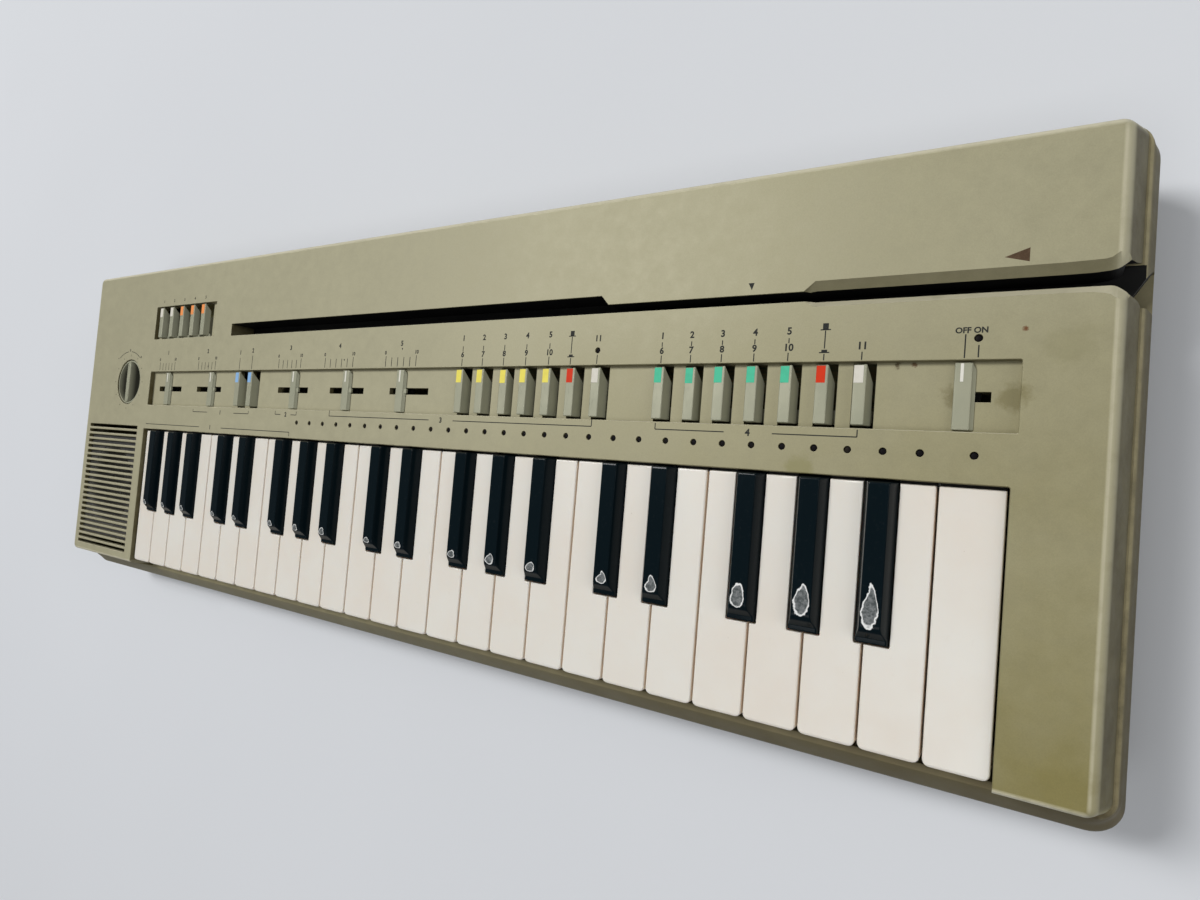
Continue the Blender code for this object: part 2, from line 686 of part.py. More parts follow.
def card_mouth():
    """The V at the right end of the card slot, which widens towards the side and the top."""
    middle = SLOT_FRONT + SLOT_NARROW / 2
    narrow = SLOT_NARROW / 2 + LIP_FLARE_FRONT
    wide = narrow + MOUTH_SPREAD
    bottom = -SLOT_DEPTH + 0.0005
    def mouth_ring(x, half):
        return [
            (x, middle - 0.0012, bottom), (x, middle + 0.0012, bottom),
            (x, middle + half, 0.0015), (x, middle - half, 0.0015),
        ]

    bm = bmesh.new()
    add_loft(bm, [mouth_ring(MOUTH_START, narrow * 0.6), mouth_ring(CREST_RIGHT + 0.001, wide),
                  mouth_ring(CREST_RIGHT + 0.012, wide + 0.003)])
    return helper(bm, "card_mouth")


def top_case():
    case = outer_top()
    for cutter in (top_cavity(), panel_openings(), tray_slots(), card_mouth()):
        combine(case, cutter)
    return case


def bottom_sections(inset):
    """Rings round the bottom case from its rim down, set in by the wall for its inside."""
    rim_side, rim_front, rim_back = SKIRT_SIDE + RIM_LIP, FLARE_FRONT * 0.68, SKIRT_BACK + RIM_LIP
    levels = (
        (-TOP_DEPTH - GAP, rim_side, rim_front, rim_back, SKIRT_CORNER + RIM_LIP),
        (-FLARE_TOP, FLARE_SIDE - 0.001, FLARE_FRONT - 0.0005, FLARE_BACK - 0.0005, FLARE_CORNER),
        (-(FLARE_TOP + FLARE_BOTTOM) / 2, FLARE_SIDE, FLARE_FRONT, FLARE_BACK, FLARE_CORNER),
        (-FLARE_BOTTOM, FLARE_SIDE - 0.0006, FLARE_FRONT - 0.0006, FLARE_BACK - 0.0006, FLARE_CORNER),
        (-BODY_DEPTH + 0.004, FLARE_SIDE - 0.005, FLARE_FRONT - 0.005, FLARE_BACK - 0.004, FLARE_CORNER),
        (-BODY_DEPTH, FLARE_SIDE - UNDERSIDE_TUCK, FLARE_FRONT - UNDERSIDE_TUCK, FLARE_BACK - UNDERSIDE_TUCK,
         FLARE_CORNER - 0.004),
    )
    rings = []
    for z, side, front, back, radius in levels:
        if inset and z == -BODY_DEPTH:
            z += WALL
        elif inset and z == levels[0][0]:
            z += OVERSHOOT
        rings.append(crest_ring(z, side - inset, front - inset, back - inset, radius - inset))
    if inset:
        rings.pop(-2)
    return rings


def feet_positions():
    xs = (CREST_LEFT + FOOT_INSET, CREST_RIGHT - FOOT_INSET)
    ys = (CREST_FRONT + FOOT_INSET, CREST_BACK - FOOT_INSET)
    return [(x, y) for x in xs for y in ys]


def chassis_post_positions():
    xs = [KEYS_WIDTH * share for share in (0.03, 0.5, 0.97)]
    ys = (RAIL_FRONT + RAIL_WIDTH / 2, HINGE_Y)
    return [(x, y) for x in xs for y in ys]


def board_post_positions():
    middle = (BOARD_FRONT + BOARD_BACK) / 2
    return [(BOARD_LEFT + 0.010, middle), (0.085, middle), (0.300, middle - 0.008), (0.430, middle),
            (BOARD_RIGHT - 0.010, middle), (0.020, BOARD_TAB_BACK - 0.026)]


def bay_block(bm, edge, bottom, top, right=0):
    """A block over the battery bay, larger by edge on each side and by right at its right end."""
    low = (BAY_LEFT - edge, BAY_FRONT - edge, bottom)
    high = (BAY_LEFT + BAY_LENGTH + edge + right, BAY_FRONT + BAY_WIDTH + edge, top)
    add_box(bm, low, high)


def dovetail(left, right, bottom, top, gap):
    """A plate over the battery bay whose long sides lean in towards the underside."""
    lean = DOOR_LEAN * (top - bottom) / (RECESS_TOP + BODY_DEPTH)
    reach = DOOR_TONGUE - gap
    section = [
        (BAY_FRONT - reach + lean, bottom), (BAY_FRONT + BAY_WIDTH + reach - lean, bottom),
        (BAY_FRONT + BAY_WIDTH + reach, top), (BAY_FRONT - reach, top),
    ]
    bm = bmesh.new()
    outline, shift = across(section, left, right)
    add_prism(bm, outline, shift)
    return bm


def bottom_case():
    bm = bmesh.new()
    add_loft(bm, bottom_sections(0))
    case = part(bm, "bottom_case", "lower_case_paint")

    hollow = bmesh.new()
    add_loft(hollow, bottom_sections(WALL))
    hollow_case = helper(hollow, "bottom_hollow")
    kept = bmesh.new()
    bay_block(kept, BAY_WALL, INSIDE_FLOOR - 0.001, BAY_TOP)
    bay_block(kept, DOOR_TONGUE + WALL, INSIDE_FLOOR - 0.001, RECESS_TOP + WALL * 0.8, DOOR_TRAVEL)
    for x, y in chassis_post_positions():
        add_cylinder(kept, (x, y), POST_RADIUS, INSIDE_FLOOR - 0.001, RAIL_BOTTOM - GAP, 10)
    for x, y in board_post_positions():
        if not BAY_LEFT - BAY_WALL < x < BAY_LEFT + BAY_LENGTH + BAY_WALL:
            add_cylinder(kept, (x, y), POST_RADIUS, INSIDE_FLOOR - 0.001, BOARD_TOP - BOARD - GAP, 10)
    add_box(kept, (-KEY_OPENING_SIDE, CREST_FRONT - FLARE_FRONT, LEDGE_TOP - WALL),
            (KEYS_WIDTH + KEY_OPENING_SIDE, RAIL_FRONT - SLIDE_GAP, LEDGE_TOP))
    combine(hollow_case, helper(kept, "kept_in_bottom"))
    combine(case, hollow_case)

    feet = bmesh.new()
    for x, y in feet_positions():
        add_cylinder(feet, (x, y), FOOT_RADIUS, -BODY_DEPTH - FOOT_HEIGHT, -BODY_DEPTH + 0.001, 16,
                     FOOT_RADIUS + 0.001)
    combine(case, helper(feet, "feet"), "UNION")

    bay = bmesh.new()
    bay_block(bay, 0, -BODY_DEPTH - 0.002, BAY_TOP - BAY_WALL)
    combine(case, helper(bay, "bay_hollow"))
    recess = dovetail(BAY_LEFT - DOOR_TONGUE - GAP, BAY_LEFT + BAY_LENGTH + DOOR_TRAVEL,
                      -BODY_DEPTH - 0.001, RECESS_TOP, 0)
    combine(case, helper(recess, "door_recess"))
    return case


def battery_door():
    """A dovetailed plate flush with the underside, which slides along x in its recess."""
    bm = dovetail(BAY_LEFT - DOOR_TONGUE, BAY_LEFT + BAY_LENGTH - SLIDE_GAP,
                  -BODY_DEPTH + GAP / 2, RECESS_TOP - GAP, SLIDE_GAP)
    return part(bm, "battery_door", "lower_case_paint",
                (BAY_LEFT + BAY_LENGTH / 2, BAY_FRONT + BAY_WIDTH / 2, -BODY_DEPTH))


def key_chassis():
    """Two rails with ribs between them: the rear one has the groove that the keys' beads turn in."""
    bm = bmesh.new()
    left, right = KEY_GAP, KEYS_WIDTH - KEY_GAP
    rear_front = HINGE_Y - HINGE_RADIUS - GAP - 0.0015
    rear_back = HINGE_Y + HINGE_RADIUS + GAP + 0.0008
    groove = hinge_arc(HINGE_RADIUS + GAP, -18, -162, 8)
    profile = [
        (rear_front, RAIL_BOTTOM), (rear_back, RAIL_BOTTOM), (rear_back, RAIL_TOP), *groove,
        (rear_front, RAIL_TOP),
    ]
    outline, shift = across(profile, left, right)
    add_prism(bm, outline, shift)
    chassis = part(bm, "key_chassis", "chassis_steel")

    frame = bmesh.new()
    add_box(frame, (left, RAIL_FRONT, RAIL_BOTTOM), (right, RAIL_FRONT + RAIL_WIDTH, RAIL_REST))
    combine(chassis, helper(frame, "front_rail"), "UNION")
    ribs = bmesh.new()
    for i in range(CHASSIS_RIBS):
        x = left + (right - left - RIB_WIDTH) * i / (CHASSIS_RIBS - 1)
        add_box(ribs, (x, RAIL_FRONT + 0.002, RAIL_BOTTOM + 0.0002),
                (x + RIB_WIDTH, rear_front + 0.001, RAIL_REST - 0.0008))
    combine(chassis, helper(ribs, "chassis_ribs"), "UNION")
    return chassis


def circuit_board():
    """The main board, with a post under each lamp, switches, the dial's switch and the rear sockets."""
    bm = bmesh.new()
    outline = [
        (BOARD_LEFT, BOARD_FRONT), (BOARD_RIGHT, BOARD_FRONT), (BOARD_RIGHT, BOARD_BACK),
        (BOARD_TAB_RIGHT, BOARD_BACK), (BOARD_TAB_RIGHT, BOARD_TAB_BACK), (BOARD_LEFT, BOARD_TAB_BACK),
    ]
    add_prism(bm, [(x, y, BOARD_TOP - BOARD) for x, y in outline], Vector((0, 0, BOARD)))
    board = part(bm, "circuit_board", "circuit_board")

    fitted = bmesh.new()
    root = BOARD_TOP - BOARD / 2
    for centre in [(x, LAMP_Y) for x in lamp_positions()] + [START_LAMP, POWER_LAMP]:
        add_cylinder(fitted, centre, LAMP_POST / 2, root, -LAMP_RECESS, 6)
    hub_bottom = -DIAL_SINK - DIAL_THICK - DIAL_HUB
    add_cylinder(fitted, DIAL_CENTRE, DIAL_SWITCH_RADIUS, root, hub_bottom - GAP, 12)
    switch_top = BAR_TOP - CARRIER - BUTTON_TRAVEL - GAP
    for front, _, buttons in button_rows().values():
        middle = front + CARRIER_FRONT_TO_MIDDLE
        for x, _ in buttons[:: len(buttons) - 1]:
            add_box(fitted, (x - SWITCH_LENGTH / 2, middle - SWITCH_WIDTH / 2, root),
                    (x + SWITCH_LENGTH / 2, middle + SWITCH_WIDTH / 2, switch_top))
    for x in SOCKET_X:
        add_box(fitted, (x - SOCKET_BLOCK / 2, BOARD_TAB_BACK - 0.007, root),
                (x + SOCKET_BLOCK / 2, CREST_BACK - 0.006, SOCKET_BLOCK_TOP))
    combine(board, helper(fitted, "board_fittings"), "UNION")
    barrels = bmesh.new()
    bores = bmesh.new()
    end = CREST_BACK + SOCKET_PROUD
    for x in SOCKET_X:
        add_cylinder_y(barrels, x, SOCKET_Z, SOCKET_RADIUS, CREST_BACK - 0.008, end, 16)
        add_cylinder_y(bores, x, SOCKET_Z, SOCKET_BORE, end - SOCKET_BORE_DEPTH, end + 0.002, 12)
    combine(board, helper(barrels, "socket_barrels"), "UNION")
    combine(board, helper(bores, "socket_bores"))
    return board


def speaker():
    """A round cone speaker in a square steel frame, turned from its side profile."""
    x = (GRILLE_LEFT + GRILLE_RIGHT) / 2
    y = GRILLE_FRONT + (GRILLE_SLOTS - 1) * GRILLE_PITCH / 2
    half = SPEAKER_SIZE / 2
    bm = bmesh.new()
    add_box(bm, (x - half, y - half, SPEAKER_TOP - SPEAKER_RIM), (x + half, y + half, SPEAKER_TOP))
    made = part(bm, "speaker", "speaker_steel", (x, y, SPEAKER_TOP))
    back = bmesh.new()
    cone_bottom = SPEAKER_TOP - SPEAKER_RIM - SPEAKER_CONE
    centre = (x, y)
    add_cylinder(back, centre, SPEAKER_NECK, cone_bottom, SPEAKER_TOP - SPEAKER_RIM / 2, 24, half - 0.002)
    combine(made, helper(back, "speaker_basket"), "UNION")
    magnet = bmesh.new()
    add_cylinder(magnet, centre, SPEAKER_MAGNET_RADIUS, cone_bottom - SPEAKER_MAGNET,
                 cone_bottom + 0.0005, 24)
    combine(made, helper(magnet, "speaker_magnet"), "UNION")
    cone = bmesh.new()
    add_cylinder(cone, centre, SPEAKER_THROAT, cone_bottom + 0.002, SPEAKER_TOP + 0.001, 24, half - 0.004)
    combine(made, helper(cone, "speaker_cone_hollow"))
    return made


def button_bank(name, front, back, buttons):
    """Push buttons of one bank, on the bar that their springs hold up against the tray."""
    bar_front = front + CARRIER_SET_BACK
    bm = bmesh.new()
    first, last = buttons[0][0], buttons[-1][0]
    add_box(bm, (first - BUTTON_WIDTH / 2, bar_front, BAR_TOP - CARRIER),
            (last + BUTTON_WIDTH / 2, bar_front + CARRIER_WIDTH, BAR_TOP))
    bank = part(bm, name, "control_plastic", ((first + last) / 2, (front + back) / 2, BAR_TOP))
    fingers = bmesh.new()
    for x, latched in buttons:
        top = BUTTON_TOP - (BUTTON_LATCHED if latched else 0)
        add_box(fingers, (x - BUTTON_WIDTH / 2, front + BUTTON_SIDE, BAR_TOP - CARRIER * 0.6),
                (x + BUTTON_WIDTH / 2, back - BUTTON_SIDE, top))
    combine(bank, helper(fingers, f"{name}_fingers"), "UNION")
    return bank


def slider(name, middle, rest):
    """A slider: the cap on the tray, its stem through the slot and the foot that holds it in."""
    x = middle + rest
    half = SLIDER_WIDTH / 2
    stem = SLIDER_STEM / 2
    y_stem = (SLIDER_SLOT_WIDTH - 2 * SLIDE_GAP) / 2
    bevel = SLIDER_BEVEL
    bm = bmesh.new()
    cap = [
        (x - half, TRAY_FLOOR + GAP), (x + half, TRAY_FLOOR + GAP), (x + half, SLIDER_TOP - bevel),
        (x + half - bevel, SLIDER_TOP), (x - half + bevel, SLIDER_TOP), (x - half, SLIDER_TOP - bevel),
    ]
    front = TRAY_FRONT + SLIDE_GAP
    back = TRAY_BACK - SLIDE_GAP
    add_prism(bm, [(px, front, pz) for px, pz in cap], Vector((0, back - front, 0)))
    made = part(bm, name, "control_plastic", (x, CONTROL_Y, TRAY_FLOOR))
    post = bmesh.new()
    add_box(post, (x - stem, CONTROL_Y - y_stem, BAR_TOP - 0.001),
            (x + stem, CONTROL_Y + y_stem, TRAY_FLOOR + 0.001))
    combine(made, helper(post, f"{name}_stem"), "UNION")
    foot = bmesh.new()
    add_box(foot, (x - SLIDER_FOOT / 2, CONTROL_Y - SLIDER_FOOT_WIDTH / 2, BAR_TOP - SLIDER_FOOT_THICK),
            (x + SLIDER_FOOT / 2, CONTROL_Y + SLIDER_FOOT_WIDTH / 2, BAR_TOP))
    combine(made, helper(foot, f"{name}_foot"), "UNION")
    return made


def transpose_dial():
    """A dished disc with a grip bar across it, on a hub."""
    x, y = DIAL_CENTRE
    top = -DIAL_SINK
    bottom = top - DIAL_THICK
    bm = bmesh.new()
    add_cylinder(bm, DIAL_CENTRE, DIAL_RADIUS, bottom, top, 32)
    dial = part(bm, "transpose_dial", "control_plastic", (x, y, bottom))
    dish = bmesh.new()
    add_cylinder(dish, DIAL_CENTRE, DIAL_RADIUS * 0.55, top - DIAL_DISH, top + 0.001, 24,
                 DIAL_RADIUS - DIAL_RIM)
    combine(dial, helper(dish, "dial_dish"))
    bar = bmesh.new()
    reach = DIAL_RADIUS - DIAL_BAR_SHORT
    add_box(bar, (x - DIAL_BAR / 2, y - reach, bottom + 0.0008),
            (x + DIAL_BAR / 2, y + reach, top + 0.0008))
    combine(dial, helper(bar, "dial_bar"), "UNION")
    hub = bmesh.new()
    add_cylinder(hub, DIAL_CENTRE, DIAL_HUB_RADIUS, bottom - DIAL_HUB, bottom + 0.0005, 12)
    combine(dial, helper(hub, "dial_hub"), "UNION")
    return dial


top_case()
bottom_case()
battery_door()
key_chassis()
circuit_board()
speaker()
transpose_dial()
for slider_name, (keys_along, slider_rest, _) in SLIDERS.items():
    slider(slider_name, keys_along * KEY_PITCH, slider_rest)
for bank_name, (row_front, row_back, row_buttons) in button_rows().items():
    button_bank(bank_name, row_front, row_back, row_buttons)
key_bed()
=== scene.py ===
"""A portable keyboard with 44 mini keys, lying flat on its feet.

Sizes are in metres. Pieces are drawn in the panel's own frame, with x along the keys, y from the
front of the keys towards the back and z up from the panel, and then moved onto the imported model.
"""

import math

import bmesh
import bpy
from mathutils import Matrix, Vector


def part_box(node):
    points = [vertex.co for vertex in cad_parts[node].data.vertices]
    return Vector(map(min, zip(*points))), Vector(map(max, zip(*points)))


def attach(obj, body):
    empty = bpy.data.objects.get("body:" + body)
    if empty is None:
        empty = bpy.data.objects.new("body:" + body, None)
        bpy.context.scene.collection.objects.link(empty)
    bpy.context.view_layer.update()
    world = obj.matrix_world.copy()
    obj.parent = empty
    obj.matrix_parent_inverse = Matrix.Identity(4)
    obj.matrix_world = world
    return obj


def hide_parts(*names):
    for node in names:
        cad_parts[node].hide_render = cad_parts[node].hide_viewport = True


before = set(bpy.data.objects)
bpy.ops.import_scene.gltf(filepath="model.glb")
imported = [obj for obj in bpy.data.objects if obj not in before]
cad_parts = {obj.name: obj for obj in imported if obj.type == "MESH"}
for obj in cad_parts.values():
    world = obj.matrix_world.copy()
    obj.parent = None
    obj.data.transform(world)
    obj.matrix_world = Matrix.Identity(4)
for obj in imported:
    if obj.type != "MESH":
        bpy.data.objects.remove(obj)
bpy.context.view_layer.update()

# Lower case
# The deep tray that the keyboard stands on, moulded in one piece and sprayed like the top. Its rim steps
# out under the upper case, then the wall swells and tucks in again. The battery bay, the screw wells and
# the ledge under the keys are part of it.
GAP = 0.0003
OVER = 0.004
KEY_SIDE = 0.0004
CORNER_STEPS = 10
WALL = 0.0025
TOP_DEPTH = 0.0157
SKIRT_SIDE = 0.0055
SKIRT_FRONT = 0.0035
SKIRT_BACK = 0.0045
PLAN_CORNER = 0.003
FOOT_HEIGHT = 0.004
FOOT_RADIUS = 0.009
FOOT_INSET = 0.022
FLARE_CORNER = 0.010
DOOR_TRAVEL = 0.012
DOOR_TONGUE = 0.0022
DOOR_LEAN = 0.0012
DOOR_PLATE = 0.0023
DOOR_CLEAR = 0.0005
BAY_WALL = 0.002
BAY_HEIGHT = 0.0275
LEDGE_TOP = -0.024
LEDGE_BACK = 0.0055
LEDGE_SIDE = 0.0008
SCREW_WELL = 0.0042
SCREW_WELL_DEPTH = 0.012
NOTCH_FLOOR = -0.0246
NOTCH_FRONT = 0.1440
NOTCH_BACK = 0.1670
NOTCH_SLANT = 0.60
NOTCH_END = 0.0016
NOTCH_CORNER_Y = 0.1470
NOTCH_BARE = (0.1468, 0.1640)
SEAT_FRONT = 0.1484
SEAT_BACK = 0.1612
SEAT_FLOOR = -0.0164
LOWER_PAINT = (0.265, 0.238, 0.140)
LOWER_SHADE = (0.225, 0.200, 0.118)
LOWER_STAIN = (0.110, 0.086, 0.040)
GRIME_AND_SHADE = (0.066, 0.052, 0.014)
RUBBED_AND_HIGHLIGHT = (0.60, 0.56, 0.41)
THIN_PAINT_AND_HIGHLIGHT = (0.42, 0.36, 0.20)
BARE_BLACK = (0.0045, 0.0045, 0.0042)
BARE_DUST = (0.012, 0.012, 0.010)

first_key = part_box("key_F2")
top_low, top_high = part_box("top_case")
door_low, door_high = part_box("battery_door")
PANEL = Vector((first_key[0].x - KEY_SIDE, first_key[0].y, top_high.z))
KEYS_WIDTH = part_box("key_C6")[1].x + KEY_SIDE - PANEL.x
CREST_LEFT = top_low.x - PANEL.x + SKIRT_SIDE
CREST_RIGHT = top_high.x - PANEL.x - SKIRT_SIDE
CREST_FRONT = top_low.y - PANEL.y + SKIRT_FRONT
CREST_BACK = top_high.y - PANEL.y - SKIRT_BACK
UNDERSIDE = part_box("bottom_case")[0].z - PANEL.z + FOOT_HEIGHT
BAY_LEFT = door_low.x - PANEL.x + DOOR_TONGUE
BAY_RIGHT = door_high.x - PANEL.x + DOOR_CLEAR
BAY_FRONT = door_low.y - PANEL.y + DOOR_TONGUE - DOOR_CLEAR
BAY_BACK = door_high.y - PANEL.y - DOOR_TONGUE + DOOR_CLEAR


def skin(bm, rings):
    """Faces between rings of equally many points, closed at both ends."""
    loops = [[bm.verts.new(point) for point in ring] for ring in rings]
    for lower, upper in zip(loops, loops[1:]):
        for i in range(len(lower)):
            j = (i + 1) % len(lower)
            bm.faces.new((lower[i], lower[j], upper[j], upper[i]))
    bm.faces.new(loops[0])
    bm.faces.new(loops[-1])


def round_rectangle(low, high, radius, z, steps=CORNER_STEPS):
    """Points round a rectangle with round corners, at height z."""
    centres = (
        (high[0] - radius, high[1] - radius), (low[0] + radius, high[1] - radius),
        (low[0] + radius, low[1] + radius), (high[0] - radius, low[1] + radius),
    )
    points = []
    for corner, (x, y) in enumerate(centres):
        for i in range(steps + 1):
            angle = math.pi / 2 * (corner + i / steps)
            points.append((x + radius * math.cos(angle), y + radius * math.sin(angle), z))
    return points


def circle(centre, radius, z, sides):
    """Points round a circle that lies flat at height z."""
    turns = [math.tau * i / sides for i in range(sides)]
    return [(centre[0] + radius * math.cos(turn), centre[1] + radius * math.sin(turn), z) for turn in turns]


def disc(bm, centre, radius, bottom, top, sides=32, top_radius=None):
    """A closed disc, or a cone where it has another radius at its top."""
    upper = radius if top_radius is None else top_radius
    skin(bm, [circle(centre, radius, bottom, sides), circle(centre, upper, top, sides)])


def block(bm, low, high):
    """A plain block between two corners."""
    low, high = Vector(low), Vector(high)
    matrix = Matrix.Translation((low + high) / 2) @ Matrix.Diagonal((*(high - low), 1))
    bmesh.ops.create_cube(bm, size=1, matrix=matrix)


def pushed(bm, outline, shift):
    """A flat outline pushed along shift into a closed solid."""
    skin(bm, [outline, [tuple(Vector(point) + Vector(shift)) for point in outline]])


def as_object(bm):
    """A loose object that a cut can be made in or with."""
    bmesh.ops.recalc_face_normals(bm, faces=bm.faces)
    mesh = bpy.data.meshes.new("drawn")
    bm.to_mesh(mesh)
    bm.free()
    thing = bpy.data.objects.new("drawn", mesh)
    bpy.context.scene.collection.objects.link(thing)
    return thing


def carve(body, tool, operation="DIFFERENCE", overlapping=False):
    """body cut by tool or joined to it. overlapping says that tool's own blocks run into each other."""
    target, cutter = as_object(body), as_object(tool)
    modifier = target.modifiers.new("carve", "BOOLEAN")
    modifier.operation = operation
    modifier.object = cutter
    modifier.use_self = overlapping
    result = bmesh.new()
    evaluated = target.evaluated_get(bpy.context.evaluated_depsgraph_get())
    result.from_mesh(evaluated.to_mesh())
    evaluated.to_mesh_clear()
    for used in (target, cutter):
        mesh = used.data
        bpy.data.objects.remove(used, do_unlink=True)
        bpy.data.meshes.remove(mesh)
    return result


def piece(bm, name, body, slot, finish, *nodes):
    """One finished piece: moved onto the model, smooth where it is round, riding on its body."""
    bmesh.ops.remove_doubles(bm, verts=bm.verts, dist=1e-7)
    bmesh.ops.recalc_face_normals(bm, faces=bm.faces)
    bmesh.ops.translate(bm, vec=PANEL, verts=bm.verts)
    mesh = bpy.data.meshes.new(name)
    bm.to_mesh(mesh)
    bm.free()
    mesh.shade_smooth()
    mesh.set_sharp_from_angle(angle=math.radians(32))
    mesh.materials.append(finish)
    made = bpy.data.objects.new(name, mesh)
    bpy.context.scene.collection.objects.link(made)
    flat = made.modifiers.new("flat_faces_stay_flat", "WEIGHTED_NORMAL")
    flat.keep_sharp = True
    flat.weight = 100
    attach(made, body)
    if nodes:
        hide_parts(*nodes)
    return made


def node(tree, kind, inputs=(), **settings):
    """A shader node with its settings, its values and its links."""
    made = tree.nodes.new(kind)
    for name, value in settings.items():
        setattr(made, name, value)
    for socket, value in dict(inputs).items():
        if isinstance(value, bpy.types.NodeSocket):
            tree.links.new(value, made.inputs[socket])
        else:
            made.inputs[socket].default_value = value
    return made


def clouds(tree, place, scale, detail=3.0, roughness=0.55):
    """A noise from 0 to 1, whose features are about 1/scale metres wide."""
    inputs = {"Vector": place, "Scale": scale, "Detail": detail, "Roughness": roughness}
    return node(tree, "ShaderNodeTexNoise", inputs).outputs[0]


def between(tree, value, start, end, low=0.0, high=1.0):
    """value from start to end becomes low to high, and stays inside them."""
    inputs = {"Value": value, "From Min": start, "From Max": end, "To Min": low, "To Max": high}
    return node(tree, "ShaderNodeMapRange", inputs).outputs[0]


def reckoned(tree, operation, first, second):
    """A value worked out from two others."""
    return node(tree, "ShaderNodeMath", {0: first, 1: second}, operation=operation).outputs[0]


def times(tree, first, second):
    return reckoned(tree, "MULTIPLY", first, second)


def blended(tree, share, first, second, how="MIX"):
    """first turning into second by share. Either is a plain tone or a pattern."""
    colours = [(*value, 1.0) if isinstance(value, tuple) else value for value in (first, second)]
    inputs = {0: share, 6: colours[0], 7: colours[1]}
    return node(tree, "ShaderNodeMix", inputs, data_type="RGBA", blend_type=how).outputs[2]


def start_finish(name, roughness, metallic=0.0, specular=0.5):
    """A material, its tree, its shader and the place on the object that its patterns follow."""
    material = bpy.data.materials.new(name)
    material.use_nodes = True
    tree = material.node_tree
    shader = tree.nodes["Principled BSDF"]
    shader.inputs["Roughness"].default_value = roughness
    shader.inputs["Metallic"].default_value = metallic
    shader.inputs["Specular IOR Level"].default_value = specular
    place = node(tree, "ShaderNodeTexCoord").outputs["Object"]
    return material, tree, shader, place


def bumped(tree, shader, height, distance, strength=1.0):
    """Lets the light see height as a relief of this depth, in metres."""
    bump = node(tree, "ShaderNodeBump", {"Height": height, "Distance": distance, "Strength": strength})
    tree.links.new(bump.outputs[0], shader.inputs["Normal"])


def coloured(tree, shader, colour, roughness=None):
    """Links a patterned colour, and a patterned roughness where there is one."""
    tree.links.new(colour, shader.inputs["Base Color"])
    if roughness is not None:
        tree.links.new(roughness, shader.inputs["Roughness"])


def clouded_finish(name, tones, grain, roughness, metallic=0.0, specular=0.5):
    """A plain finish of one tone that clouds over into another. grain is (scale, detail, start, end)."""
    material, tree, shader, place = start_finish(name, roughness, metallic, specular)
    share = between(tree, clouds(tree, place, *grain[:2]), *grain[2:])
    coloured(tree, shader, blended(tree, share, *tones))
    return material


